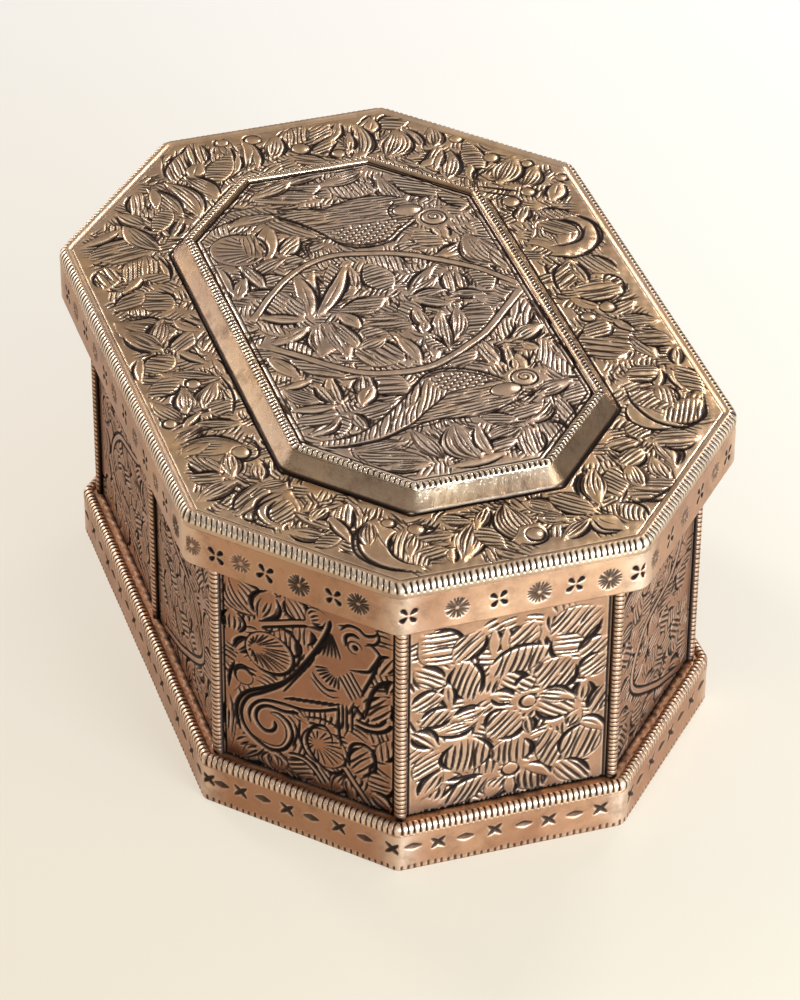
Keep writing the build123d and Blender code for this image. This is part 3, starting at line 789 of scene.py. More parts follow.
def animal(sheet):
    """The seated animal: its curled tail, its body, its head and its forelegs."""
    sheet.wheel((10.8, 39.2), 4.9, (7.4, 39.4), -30, 24, 1.0)
    sheet.stroke([(12.6, 46.6), (15.6, 45.4), (16.8, 42), (16.7, 39.5), (15.3, 37)], 0.8)
    sheet.stem([(9, 45.6), (13, 47.4), (16, 48.8), (19.4, 50.2)], 0.7, 0.5, 0.8)
    sheet.berry((5.5, 31.3), 1.9, 130)
    sheet.stroke([(3.7, 30.2), (3.8, 32.8), (5.2, 33.8), (7, 32.2)], 0.8)
    sheet.wheel((21.9, 20.6), 4.6, (20.4, 21.4), 180, 17, 0.5)
    sheet.strokes([
        ([(23.7, 22), (23.4, 24.3), (22, 26), (20, 25.3), (18.7, 23), (18.3, 20.6), (19.3, 18),
          (21.3, 15.8), (23.3, 15), (25.3, 16), (26.2, 18.3), (25.7, 20.3), (24, 21)], 0.9),
        ([(18, 26.7), (21.3, 27.6), (24.3, 27), (25.4, 24.6)], 0.6),
        ([(27.3, 20.7), (27, 22.4), (28, 24.3), (30, 25), (31.7, 24), (32.3, 21.8), (31.3, 19.7),
          (31, 17.8)], 0.95),
    ])
    sheet.stem([(26, 17.6), (28.2, 14.3), (30.2, 11.5), (31.3, 10)], 0.6, 0.6, 0.5)
    sheet.stem([(14.6, 15.6), (17.4, 16), (20, 14.2), (22.2, 10.8)], 0.5, 0.7, 0.5)
    sheet.clear(smooth([
        (22.5, 52), (20.8, 47), (17.5, 39.5), (13.5, 33.8), (8, 29.3), (4.8, 26), (3.9, 21.5),
        (5.2, 17.4), (9, 15.2), (12.5, 15.8), (14.8, 18.6), (15.4, 22), (13.6, 25.6), (17, 28),
        (21, 29.3), (25, 31.8), (27, 34.5), (29, 35.2), (31, 39), (31.7, 44.7), (33, 48.3),
        (31.3, 49.8), (32.9, 51.2), (32.7, 53.6), (30.6, 52.2), (27.6, 53.2), (25.3, 51.8)], 0.6))
    sheet.strokes([
        # The tail and the haunch
        ([(23.3, 52.6), (22.6, 49.4), (20.6, 44.6), (17.6, 39), (14.2, 33.8), (10, 30.4),
          (6, 27.6), (4.1, 24.6), (3.7, 21), (4.6, 17.6)], 1.2, SNUB),
        ([(22.4, 46.5), (19.8, 42.6), (16.6, 37.3), (13.4, 32.6), (9.4, 29), (6.4, 26.6),
          (4.9, 23.4), (4.9, 20.4), (6.2, 17.8), (8.6, 16), (11, 15.3), (13.4, 16.4),
          (14.9, 18.8), (15.3, 21.4), (14.4, 23.6), (12.6, 25), (10.8, 24.8)], 1.0, SNUB),
        ([(24.8, 31.6), (21.3, 29.6), (17.4, 28.2), (13, 27.9), (9.4, 27), (7.3, 25),
          (6.4, 22.6), (6.8, 20.2)], 0.9, (0.03, 0.1)),
        ([(16.7, 27), (13.7, 26.1), (10.4, 26), (8.5, 24.7), (7.8, 22.7), (8.2, 20.9),
          (9.5, 19.7), (11, 20), (11.8, 21.3), (11.7, 23)], 1.0, SNUB),
        ([(10.8, 24.6), (12.8, 23.8), (14, 22), (14, 19.4), (12.6, 17), (9.8, 16.5),
          (6.8, 17.6)], 0.35),
        ([(15.7, 24.6), (16.3, 21.6), (15.4, 18)], 0.7),
        ([(17, 25.6), (16.7, 22), (17.2, 19.6), (18.4, 17.2)], 0.7),
        # The flank
        ([(19.6, 38.6), (20.4, 37), (22.4, 35.5), (24.6, 35.9)], 0.75),
        ([(19.2, 37.2), (21.4, 34.7), (23.4, 34), (25, 34.6)], 0.45),
        # The head
        ([(26.3, 47.6), (26.3, 49.8), (27.6, 50.9), (29.2, 50.6)], 1.0),
        ([(25.2, 51), (26.7, 52.7), (28.7, 52.8), (30.3, 51.8), (32.2, 52.6), (32.6, 53.8)], 0.85),
        ([(32.6, 53.9), (32.9, 51.8), (32, 50.3), (30.4, 50)], 0.8),
        ([(30, 49.3), (31.4, 49.8), (33, 48.3), (32.7, 46.8), (31.7, 44.7), (31, 43.4),
          (29.3, 42.7), (27, 42.2)], 0.9),
        # The chest and the leaf before it
        ([(33.4, 48.6), (31.9, 43.2), (30.2, 38.8), (29.4, 36.4)], 0.95),
        ([(36.3, 43.3), (33.6, 41.6), (31.7, 38.6), (30.8, 35), (30.3, 31.6)], 1.15),
    ])
    for i in range(8):
        x = 13.6 + 1.3 * i
        sheet.stroke([(x, 29.2 + 0.32 * i), (x + 2.6, 30.6 + 0.36 * i)], 0.55)
    for i in range(6):
        y = 33.2 + 1.6 * i
        sheet.stroke([(13.6 + 1.0 * i, y - 2.2), (15.6 + 0.9 * i, y + 1.0)], 0.55)
    mane = np.array((23.4, 50.2))
    for i in range(6):
        foot = np.array((20.8 + 0.9 * i, 43.2 + 0.15 * i))
        sheet.stroke([mane + 0.12 * (foot - mane), foot], 0.55, (0.5, 0.15))
    shoulder = np.array((24.9, 41.4))
    for i in range(8):
        reach = heading(radians(196 + 10.5 * i))
        sheet.stroke([shoulder + 2.1 * reach, shoulder + 5.0 * reach], 0.55, (0.5, 0.1))
    for i in range(4):
        x = 25 + 0.75 * i
        sheet.stroke([(x, 39.8 + 0.7 * i), (x + 2.8, 34.8 + 0.7 * i)], 0.6, (0.1, 0.2))
    eye = (28.2, 48.0)
    bearings = np.linspace(0, 2 * pi, 15)
    sheet.stroke(oval(eye, 0.35, bearings), 0.8, (0.01, 0.01))
    sheet.stroke(oval(eye, 1.45, bearings[:12]), 0.4)
    sheet.stem([(28.2, 29.8), (30.4, 29.5), (33.4, 30.4), (35.6, 33.4)], 0.75, 0.9, 1.1)
    sheet.stroke([(28, 33.8), (29, 32.4), (30.2, 31.4)], 1.3)
    for x, low in ((25.7, 27), (26.5, 26.6), (27.6, 26.8)):
        sheet.stroke([(x, 33.4), (x, low)], 0.7)
    sheet.stroke([(24.9, 33), (24.8, 27.5), (25.4, 22.4)], 0.85)


# The drawings' heights run from the plinth to the top of what shows under the skirt
drawn_foot, drawn_head = 10.0, 55.0
shown_foot, shown_head = ledge_height + 0.1, skirt_bottom - 4.5
panel_foot, panel_head = drawn_foot, drawn_head + 2.0


def drawn(height):
    return drawn_foot + (height - shown_foot) * (drawn_head - drawn_foot) / (shown_head - shown_foot)


def panel_sheet_for(length):
    """A blank panel drawing with a few short strokes, which the leaves then cover."""
    sheet = Sheet((0, drawn_foot - 10), (length, drawn_head + 5), 1.15, 0.6, 0.3, 3.2)

    def keep(p):
        return 2.5 < p[0] < length - 2.5 and panel_foot + 1 < p[1] < panel_head - 1

    sheet.thicket((2, panel_foot), (length - 2, panel_head), keep, 4.6)
    return sheet


def framed(sheet, length):
    """Add the cuts that frame a panel and the matted strip along its foot."""
    for x in (1.45, length - 1.45):
        sheet.stroke([(x, panel_foot - 1), (x, panel_head)], 0.5, (0.001, 0.02))
    sheet.stroke([(1, panel_foot), (length - 1, panel_foot)], 0.7, (0.01, 0.01))
    for x in np.arange(1.6, length - 1.6, 0.6):
        sheet.stroke([(x, panel_foot - 0.3),
                      (x + rng.uniform(-0.3, 0.3), panel_foot + rng.uniform(0.3, 1.1))], 0.45)
    sheet.stroke([(1, panel_head), (length - 1, panel_head)], 0.45, (0.02, 0.02))
    return sheet.settle(0.3)


def animal_sheet(length):
    sheet = panel_sheet_for(length)
    sheet.leaves(ANIMAL_LEAVES)
    animal(sheet)
    return framed(sheet, length)


def end_sheet(length):
    sheet = panel_sheet_for(length)
    sheet.leaves(END_LEAVES)
    sheet.berry((23.5, 33), 1.5, 200)
    sheet.berry((20.5, 17), 1.6, 270)
    return framed(sheet, length)


def scroll_sheet(length, flip):
    """A generic panel: two flowers on a winding stem, with leaves all round."""
    sheet = panel_sheet_for(length)
    low, high = panel_foot + 1, panel_head - 1

    def place(x, y):
        return np.array((length / 2 + flip * (x - 0.5) * (length - 5), low + y * (high - low)))

    for x in np.arange(0.08, 1.0, 0.19):
        for y in np.arange(0.06, 1.0, 0.155):
            reach = 3.6 * heading(rng.uniform(0, 2 * pi))
            sheet.leaf(place(x, y) - reach, place(x, y) + reach, 2.1, 0.12, "along",
                       int(rng.choice([-1, 1])))
    sheet.stem([place(*p) for p in ((0.95, 0.0), (0.55, 0.12), (0.2, 0.32), (0.35, 0.55),
                                    (0.75, 0.65), (0.85, 0.85), (0.5, 0.98))], 0.8, 0.8, 0.7)
    for x, y, turn in ((0.62, 0.34, 20), (0.34, 0.78, 160)):
        centre = place(x, y)
        for angle in range(turn, turn + 360, 60):
            out = heading(radians(angle))
            sheet.leaf(centre + 1.4 * out, centre + 7.4 * out, 2.7, 0.08, (angle + 70) % 180, 1)
        sheet.berry(centre, 1.6, 250)
    for x, y, angle in ((0.1, 0.1, 70), (0.3, 0.12, 110), (0.85, 0.3, 80), (0.1, 0.55, 80),
                        (0.9, 0.55, 100), (0.68, 0.9, 70), (0.1, 0.95, 60), (0.95, 0.98, 250)):
        out = 3.2 * heading(radians(angle))
        sheet.leaf(place(x, y) - out, place(x, y) + out, 2.2, 0.15, (angle + 60) % 180, 1)
    return framed(sheet, length)


# How far each punch mark lies from a side's first corner, on the two sides that show them best
SKIRT_MARKS = {
    1: (1.4, 6.3, 11.3, 16.2, 22.9, 29.7, 34.6),
    2: (1.9, 10.6, 18.1, 25.4, 31.9, 38.2, 43.7),
}
PLINTH_MARKS = {
    1: (1.1, 3.9, 7.9, 12.6, 17.6, 22.6, 28.3, 33.6, 39.2),
    2: (2.9, 7.6, 12.7, 18.2, 23.7, 28.4, 33.3, 38.2),
}


def rosette(sheet, x, y, dark):
    """A round punch mark of fine rays."""
    count = 20 if dark else 17
    centre = np.array((x, y))
    for i in range(count):
        out = heading(2 * pi * i / count + rng.uniform(-0.06, 0.06))
        inner, outer = (0.35, 2.2) if dark else (0.4, rng.uniform(1.75, 2.05))
        sheet.stroke([centre + inner * out, centre + outer * out], 0.4, (0.6, 0.1), 0.4,
                     0.85 if dark else 0.55, 3.0)


def blossom(sheet, x, y):
    """Four drop-shaped punch marks round a point."""
    turn = rng.uniform(30, 55)
    centre = np.array((x, y))
    for i in range(4):
        out = heading(radians(turn + 90 * i))
        reach = rng.uniform(1.6, 1.9)
        sheet.stroke([centre + 0.3 * out, centre + reach * out], 1.2, (0.85, 0.15), 0.3, 1.0, 5.0)


def marks(known, length, pitch):
    """Where a side's punch marks lie from its middle: as read off the photo, or evenly."""
    if known:
        return [x - length / 2 for x in known]
    count = max(3, int((length - 5.0) / pitch) + 1)
    return [(i - (count - 1) / 2) * pitch + rng.uniform(-0.5, 0.5) for i in range(count)]


def skirt_sheet(number):
    """Rosettes and blossoms in turn."""
    length = side(number, 0)[3]
    sheet = Sheet((-length / 2, skirt_bottom), (length / 2, skirt_top))
    for i, x in enumerate(marks(SKIRT_MARKS.get(number % 4), length, SKIRT_MARK_PITCH)):
        y = (skirt_bottom + skirt_top) / 2 + rng.uniform(-0.3, 0.3)
        if (i + number) % 2 == 1:
            rosette(sheet, x, y, rng.uniform() < 0.35)
        else:
            blossom(sheet, x, y)
    return sheet.settle(0.4)


def plinth_sheet(number):
    """Crossed punch marks and lens marks in turn, and short notches along the foot."""
    length = side(number, plinth_inset)[3]
    sheet = Sheet((-length / 2, 0), (length / 2, ledge_height))
    for i, x in enumerate(marks(PLINTH_MARKS.get(number % 4), length, PLINTH_MARK_PITCH)):
        y = 0.5 * ledge_height + 0.6 + rng.uniform(-0.2, 0.2)
        if (i + number) % 2 == 1:
            for lean in (1.35, -1.35):
                sheet.stroke([(x - lean, y - 1.2), (x, y), (x + lean, y + 1.2)], 1.0, (0.3, 0.3),
                             0.3, 0.85, 4.0)
        else:
            sheet.stroke([(x - 1.7, y), (x, y), (x + 1.7, y)], 1.7, (0.5, 0.5), 0.25, 0.7, 4.0)
    for x in np.arange(-length / 2 + 0.8, length / 2 - 0.4, NOTCH_PITCH):
        sheet.stroke([(x, 0.0), (x + rng.uniform(-0.1, 0.1), rng.uniform(1.0, 1.5))], 0.55,
                     (0.001, 0.2), 0.42, 0.8)
    return sheet.settle(0.4)


# Meshes. What says which piece one is: its name, body, CAD node, material slot and material.

def wobble(x, y):
    """The uneven hand of the maker, between 0 and 1, the same on each run."""
    return 0.5 + 0.25 * (np.sin(0.31 * x + 1.7 * np.sin(0.13 * y)) * np.cos(0.27 * y + 0.9)
                         + np.sin(0.83 * x - 0.61 * y + 2.0) * 0.6
                         + np.sin(1.9 * x + 1.1 * y) * np.sin(1.7 * y - 0.8 * x) * 0.4)


def added(name, data):
    thing = bpy.data.objects.new(name, data)
    bpy.context.scene.collection.objects.link(thing)
    return thing


def blank(columns, count):
    """Empty arrays for loops of points in mm, and for their dirt and painted shade, and their wear
    and painted highlight.
    """
    return np.zeros((columns, count, 3)), np.zeros((columns, count)), np.zeros((columns, count))


def build(what, loops, dirt_and_shade, wear_and_highlight, closed):
    """A closed mesh from loops of points. Where they don't close a ring, it gets two caps."""
    name, body, node, slot, material = what
    ids = np.arange(dirt_and_shade.size).reshape(dirt_and_shade.shape)
    a = ids if closed else ids[:-1]
    b = np.roll(ids, -1, 0)[:len(a)]
    quads = np.stack([a, b, np.roll(b, -1, 1), np.roll(a, -1, 1)], -1).reshape(-1, 4)
    caps = [] if closed else [ids[0], ids[-1][::-1]]
    corners_of = np.concatenate([quads.ravel(), *caps])
    totals = np.array([4] * len(quads) + [len(cap) for cap in caps])
    starts = np.cumsum(totals) - totals
    mesh = bpy.data.meshes.new(name)
    mesh.vertices.add(ids.size)
    mesh.vertices.foreach_set("co", (loops * MM).astype(np.float32).ravel())
    mesh.loops.add(len(corners_of))
    mesh.loops.foreach_set("vertex_index", corners_of.astype(np.int32))
    mesh.polygons.add(len(starts))
    mesh.polygons.foreach_set("loop_start", starts.astype(np.int32))
    mesh.polygons.foreach_set("use_smooth", np.arange(len(starts)) < len(quads))
    mesh.update(calc_edges=True)
    mesh.validate()
    for label, values in (("dirt_and_shade", dirt_and_shade), ("wear_and_highlight", wear_and_highlight)):
        layer = mesh.attributes.new(label, "FLOAT", "POINT")
        layer.data.foreach_set("value", values.astype(np.float32).ravel())
    mesh.set_sharp_from_angle(angle=radians(62))
    mesh.materials.append(material)
    piece = added(name, mesh)
    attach(piece, body)
    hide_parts(node)


# Which way the relief of a profile's point goes, out and up. A hidden point has none.
HIDDEN = None
UP = (0.0, 1.0)
OUT = (1.0, 0.0)


def ring(what, path, profile, relief):
    """A profile of inset and height taken round a path. The relief gives depth, dirt and painted
    shade, and wear and painted highlight.
    """
    loops, dirt_and_shade, wear_and_highlight = blank(len(path.part), len(profile))
    for j, (inset, height, facing) in enumerate(profile):
        plan = path.at(inset)
        loops[:, j, :2] = plan
        loops[:, j, 2] = height
        if facing is not HIDDEN:
            depth, dirt_and_shade[:, j], wear_and_highlight[:, j] = relief(path, plan, height)
            loops[:, j, :2] = plan - path.normal * (depth * facing[0])[:, None]
            loops[:, j, 2] = height - depth * facing[1]
    build(what, loops, dirt_and_shade, wear_and_highlight, True)


def rows(start, end, step=MESH_STEP):
    return np.linspace(start, end, max(2, int(round((end - start) / step)) + 1))


def lid_border(material):
    sheet = lid_border_sheet()
    outer, inner = border_inset + 0.9, bevel_foot_inset + 1.0
    low = border_top - lid_sheet
    profile = [(inset, border_top, UP) for inset in rows(outer, inner)]
    profile += [(inner, low, HIDDEN), (outer, low, HIDDEN)]

    def relief(path, plan, height):
        lift, dirt_and_shade, wear_and_highlight = sheet.sample(*plan.T)
        return 0.2 * wobble(*plan.T) - lift, dirt_and_shade, wear_and_highlight

    ring(("lid_border", "lid", "lid_border_plate", "lid", material), Path(outer, 0, MESH_STEP),
         profile, relief)


def lid_bevel(material):
    rise = field_top - border_top
    slope = hypot(bevel_run, rise)
    tilt = (rise / slope, bevel_run / slope)
    foot = border_top - 0.25
    inner = bevel_foot_inset + bevel_wall
    profile = [(bevel_foot_inset + bevel_run * t, (foot if t == 0 else border_top) + rise * t
                - 0.12 * sin(pi * t), tilt) for t in np.linspace(0, 1, 16)]
    profile += [(bevel_top_inset + 0.2, field_top + 0.15, HIDDEN),
                (inner + bevel_run, field_top, HIDDEN), (inner, foot, HIDDEN)]

    def relief(path, plan, height):
        x, y = plan.T
        # The bevel darkens towards its foot, in the crease where it meets the border.
        dirt_and_shade = np.clip(1 - (height - border_top) / 0.35, 0, 1)
        grain = np.sin(9.1 * x + 3 * np.sin(7.3 * y)) * np.sin(8.7 * y + 2 * np.sin(6.1 * x))
        return 0.12 * wobble(x * 1.3, y * 1.3) + 0.02 + 0.02 * grain, dirt_and_shade, 0

    ring(("lid_bevel", "lid", "lid_bevel_frame", "lid", material),
         Path(bevel_foot_inset, bevel_corner_radius, 0.3), profile, relief)


def milled(phase, pitch, place, half, flare):
    """How deep and how dark a row of narrow strokes is, and the ridges between them, which take wear
    and painted highlight.

    Place runs from 0 to 1 over a stroke's length, and flare widens its two ends."""
    away = np.abs(phase - np.round(phase)) * pitch
    wide = half * (1 + flare * (2 * place - 1) ** 2)
    fade = np.clip(np.minimum(place, 1 - place) / 0.12, 0, 1)
    deep = np.clip(1 - away / wide, 0, 1) ** 0.8 * fade
    ridge = np.clip((away - wide) / 0.15, 0, 1) * fade
    return deep, np.clip(1.5 * deep - 0.12, 0, 1), ridge


# How each side's strokes lie: their lean along the edge, half width, bow and flare
RIM_EDGE = np.array((
    (0.35, 0.45, 0.0, 0.6, 0.7, 0.6, 0.5, 0.4),
    (0.20, 0.20, 0.16, 0.26, 0.28, 0.26, 0.24, 0.20),
    (0.3, 0.15, 0.0, 0.1, 0.2, 0.2, 0.2, 0.3),
    (0.0, 0.2, 1.3, 0.0, 0.0, 0.0, 0.0, 0.0),
))
FIELD_EDGE = np.array((
    (0.2, 0.05, 0.1, 0.6, 0.8, 0.7, 0.5, 0.4),
    (0.21, 0.19, 0.20, 0.28, 0.30, 0.28, 0.26, 0.22),
    (0.5, 0.1, 0.1, 0.1, 0.2, 0.2, 0.2, 0.3),
    (0.0, 1.0, 0.8, 0.0, 0.0, 0.0, 0.0, 0.0),
))
FOOT_EDGE = np.array((
    (0.0, 0.05, 0.0, 0.1, 0.0, 0.1, 0.0, 0.1),
    (0.16,) * 8,
    (0.0,) * 8,
    (1.0, 1.0, 1.2, 1.0, 1.0, 1.0, 1.0, 1.0),
))


def bead(what, path, outline, zone, edge, pitch, depth, base):
    """A rounded edge with milled strokes over part of its section.

    The outline is a list of inset, height and bearing (0 outwards, 90 upwards). The zone gives the
    first and last outline point that the strokes reach. The base closes the section."""
    count = round(path.length / pitch)
    turns = np.linspace(0, path.length, count // 2)
    jitter = np.interp(path.distance, turns, rng.uniform(-0.17, 0.17, count // 2))
    lean, half, bow, flare = edge[:, path.side]
    loops, dirt_and_shade, wear_and_highlight = blank(len(path.part), len(outline) + len(base))
    run = [0.0]
    for a, b in zip(outline, outline[1:]):
        run.append(run[-1] + hypot(b[0] - a[0], b[1] - a[1]))
    first, last = run[zone[0]], run[zone[1]]
    for j, (inset, height, bearing) in enumerate(outline):
        place = (run[j] - first) / (last - first)
        phase = path.distance / path.length * count + jitter
        phase = phase + lean * (place - 0.5) + bow * (2 * place - 1) ** 2
        deep, dirt_and_shade[:, j], wear_and_highlight[:, j] = milled(phase, pitch, place, half, flare)
        plan = path.at(inset)
        sink = depth * deep + 0.05 * wobble(*plan.T)
        loops[:, j, :2] = plan - path.normal * (sink * cos(radians(bearing)))[:, None]
        loops[:, j, 2] = height - sink * sin(radians(bearing))
    # The base points' third value is their dirt and painted shade.
    for j, (inset, height, grime_and_shade) in enumerate(base, len(outline)):
        plan = path.at(inset)
        rough = wobble(3.1 * plan[:, 0], 2.7 * plan[:, 1]) - 0.5 if grime_and_shade else 0
        loops[:, j, :2] = plan
        loops[:, j, 2] = height + 0.3 * rough
        dirt_and_shade[:, j] = np.clip(grime_and_shade + 1.2 * rough, 0, 1)
    build(what, loops, dirt_and_shade, wear_and_highlight, True)


def rounded(centre_inset, centre_height, radius, first, last, count):
    """Outline points over an arc, for a bead."""
    return [(centre_inset - radius * cos(radians(a)), centre_height + radius * sin(radians(a)), a)
            for a in np.linspace(first, last, count)]


def beads(trim, rim, bevel):
    height = border_top - 1.15
    outer = rim_inset - rim_radius
    outline = [(outer + 0.1, skirt_top - 0.5, 0), (outer, skirt_top + 0.2, 0)]
    outline += [(outer, z, 0) for z in (height - 0.7, height - 0.45, height - 0.2)]
    outline += rounded(rim_inset, height, rim_radius, 0, 150, 17)
    bead(("rim_bead", "lid", "lid_rim_bead", "mouldings", rim),
         Path(rim_inset, skirt_corner_radius - rim_inset, BEAD_STEP), outline, (3, 14), RIM_EDGE,
         RIM_PITCH, 0.26, [(rim_inset + 0.8, skirt_top + 0.4, 0), (rim_inset - 0.6, skirt_top, 0)])

    low = field_top - 0.5
    bead(("field_bead", "lid", "lid_field_bead", "mouldings", bevel),
         Path(field_bead_inset, bevel_corner_radius - field_bead_inset + bevel_foot_inset, BEAD_STEP),
         rounded(field_bead_inset, field_top - 0.2, field_bead_radius, 5, 165, 19), (1, 13),
         FIELD_EDGE, FIELD_PITCH, 0.26,
         [(field_bead_inset + 0.7, low, 0), (field_bead_inset - 0.6, low, 0)])

    outer = plinth_bead_inset - plinth_bead_radius
    inner = panel_inset + 0.15
    outline = [(outer + 0.12, ledge_height - 1.5, 0)]
    outline += [(outer, ledge_height - z, 0) for z in (1.15, 1.0, 0.75, 0.5, 0.25)]
    outline += rounded(plinth_bead_inset, ledge_height - 0.05, plinth_bead_radius, 0, 165, 19)
    # Dirt and painted shade darken the foot bead's inner slope towards the panel's foot.
    bead(("foot_bead", "case", "plinth_bead", "mouldings", trim),
         Path(plinth_bead_inset, plinth_corner_radius - plinth_bead_radius, BEAD_STEP),
         outline, (1, 21), FOOT_EDGE, FOOT_PITCH, 0.24,
         [(inner - 1.1, ledge_height + 0.2, 0.05), (inner - 0.8, ledge_height + 0.3, 0.15),
          (inner - 0.4, ledge_height + 0.35, 0.45), (inner, ledge_height + 0.35, 0.95),
          (inner, ledge_height - 0.4, 0), (plinth_bead_inset - 0.4, ledge_height - 1.1, 0)])


def stamped(sheet_of):
    """A relief that reads each side's own sheet, as far as the middle of each corner."""
    sheets = [sheet_of(k) for k in range(8)]

    def relief(path, plan, height):
        depth = 0.06 * wobble(plan[:, 0] + 0.7 * height, plan[:, 1] - height)
        dirt_and_shade, wear_and_highlight = np.zeros(len(plan)), np.zeros(len(plan))
        nearest = np.argmax([path.normal @ side(k, 0)[2] for k in range(8)], 0)
        for k, sheet in enumerate(sheets):
            start, along, _, length = side(k, path.inset)
            here = nearest == k
            x = (plan[here] - start) @ along - length / 2
            lift, dirt_and_shade[here], wear_and_highlight[here] = sheet.sample(x, np.full(len(x), height))
            depth[here] -= lift
        away = np.min([np.hypot(*(plan - corner).T) for corner in corners(path.inset)], 0)
        # The rounded corners are worn paler; this joins the painted ridge highlights in one mask.
        worn_and_highlight = 0.8 * np.exp(-(away / 3.2) ** 2) * (1 - dirt_and_shade)
        return depth, dirt_and_shade, np.maximum(wear_and_highlight, worn_and_highlight)

    return relief


def lid_skirt(material):
    heights = rows(skirt_bottom + 0.6, skirt_top - 0.1)
    profile = [(0.45, skirt_bottom, HIDDEN), (0.0, skirt_bottom + 0.4, OUT)]
    profile += [(0.0, z, OUT) for z in heights]
    profile += [(0.5, skirt_top, HIDDEN), (skirt_wall, skirt_top, HIDDEN),
                (skirt_wall, skirt_bottom, HIDDEN)]
    ring(("skirt", "lid", "lid_skirt", "mouldings", material),
         Path(0, skirt_corner_radius, MESH_STEP), profile, stamped(skirt_sheet))


def plinth(material):
    heights = rows(0.5, ledge_height - 1.2)
    under = ledge_height - plinth_ledge_sheet
    profile = [(plinth_inset + 0.3, 0.0, HIDDEN), (plinth_inset, 0.3, OUT)]
    profile += [(plinth_inset, z, OUT) for z in heights]
    profile += [
        (plinth_inset + 0.5, ledge_height - 1.1, HIDDEN), (plinth_inset + 0.5, ledge_height, HIDDEN),
        (panel_inset, ledge_height, HIDDEN), (panel_inset, under, HIDDEN),
        (plinth_inner_inset, under, HIDDEN), (plinth_inner_inset, 0.0, HIDDEN),
    ]
    ring(("plinth", "case", "plinth_band", "mouldings", material),
         Path(plinth_inset, plinth_corner_radius, 0.22), profile, stamped(plinth_sheet))


def lid_field(material):
    sheet = lid_field_sheet()
    outline = corners(field_inset)
    half_x, half_y = outline[2][0], outline[4][1]
    flat_x, flat_y = outline[4][0], outline[3][1]
    ys = rows(-half_y, half_y)
    xs = np.linspace(-1, 1, int(2 * half_x / MESH_STEP))
    slope = np.clip((np.abs(ys) - flat_y) / (half_y - flat_y), 0, 1)
    reach = half_x + (flat_x - half_x) * slope
    x = xs * reach[:, None]
    y = np.broadcast_to(ys[:, None], x.shape)
    lift, dark, bright = sheet.sample(x, y)
    loops, dirt_and_shade, wear_and_highlight = blank(len(ys), len(xs) + 2)
    top = np.s_[:, :len(xs)]
    loops[top] = np.stack([x, y, field_top - 0.2 * wobble(x, y) + lift], -1)
    dirt_and_shade[top] = dark
    wear_and_highlight[top] = bright
    for j, end in ((-2, 1), (-1, -1)):
        loops[:, j, 0] = end * reach
        loops[:, j, 1] = ys
        loops[:, j, 2] = field_top - lid_sheet
    build(("lid_field", "lid", "lid_field_plate", "lid", material), loops[:, ::-1], dirt_and_shade[:, ::-1],
          wear_and_highlight[:, ::-1], False)


def panel(place, number, part, sheet_of, material):
    """One wall. The part is the share of the side that it covers."""
    start, along, normal, length = side(number, panel_inset)
    inner_start, _, _, inner_length = side(number, panel_inset + panel_sheet)
    a, b = part
    sheet = sheet_of(length * (b - a))
    us = rows(0, length * (b - a))
    zs = rows(panel_bottom, panel_top)
    x, z = np.meshgrid(us, zs, indexing="ij")
    lift, dark, bright = sheet.sample(x, drawn(z))
    depth = 0.05 * wobble(x + 9 * number, z) - lift
    edge = np.minimum(np.minimum(x - us[0], us[-1] - x), np.minimum(z - zs[0], zs[-1] - z))
    depth *= np.clip(edge / 0.4, 0, 1)
    loops, dirt_and_shade, wear_and_highlight = blank(len(us), len(zs) + 2)
    face = np.s_[:, :len(zs)]
    plan = start + along * (length * a)
    share = a + (b - a) * us / us[-1]
    for axis in (0, 1):
        loops[(*face, axis)] = plan[axis] + along[axis] * x - normal[axis] * depth
        loops[:, -2:, axis] = (inner_start[axis] + along[axis] * inner_length * share)[:, None]
    loops[(*face, 2)] = z
    loops[:, -2, 2] = panel_top
    loops[:, -1, 2] = panel_bottom
    dirt_and_shade[face] = dark
    wear_and_highlight[face] = bright
    build(("panel_" + place, "case", place + "_panel", "panels", material), loops, dirt_and_shade, wear_and_highlight, False)


def panels(material, lit_end_material):
    def scroll(flip):
        return lambda length: scroll_sheet(length, flip)

    left, right, whole = (0, 0.5), (0.5, 1), (0, 1)
    for place, number, part, sheet_of in (
        ("front_left", 0, left, scroll(1)),
        ("front_right", 0, right, scroll(-1)),
        ("front_right_corner", 1, whole, animal_sheet),
        ("right_end", 2, whole, end_sheet),
        ("back_right_corner", 3, whole, scroll(1)),
        ("back_right", 4, left, scroll(1)),
        ("back_left", 4, right, scroll(-1)),
        ("back_left_corner", 5, whole, animal_sheet),
        ("left_end", 6, whole, end_sheet),
        ("front_left_corner", 7, whole, scroll(-1)),
    ):
        # The end panels take the lighter, lit copy of the panels' brass.
        panel(place, number, part, sheet_of, lit_end_material if sheet_of is end_sheet else material)


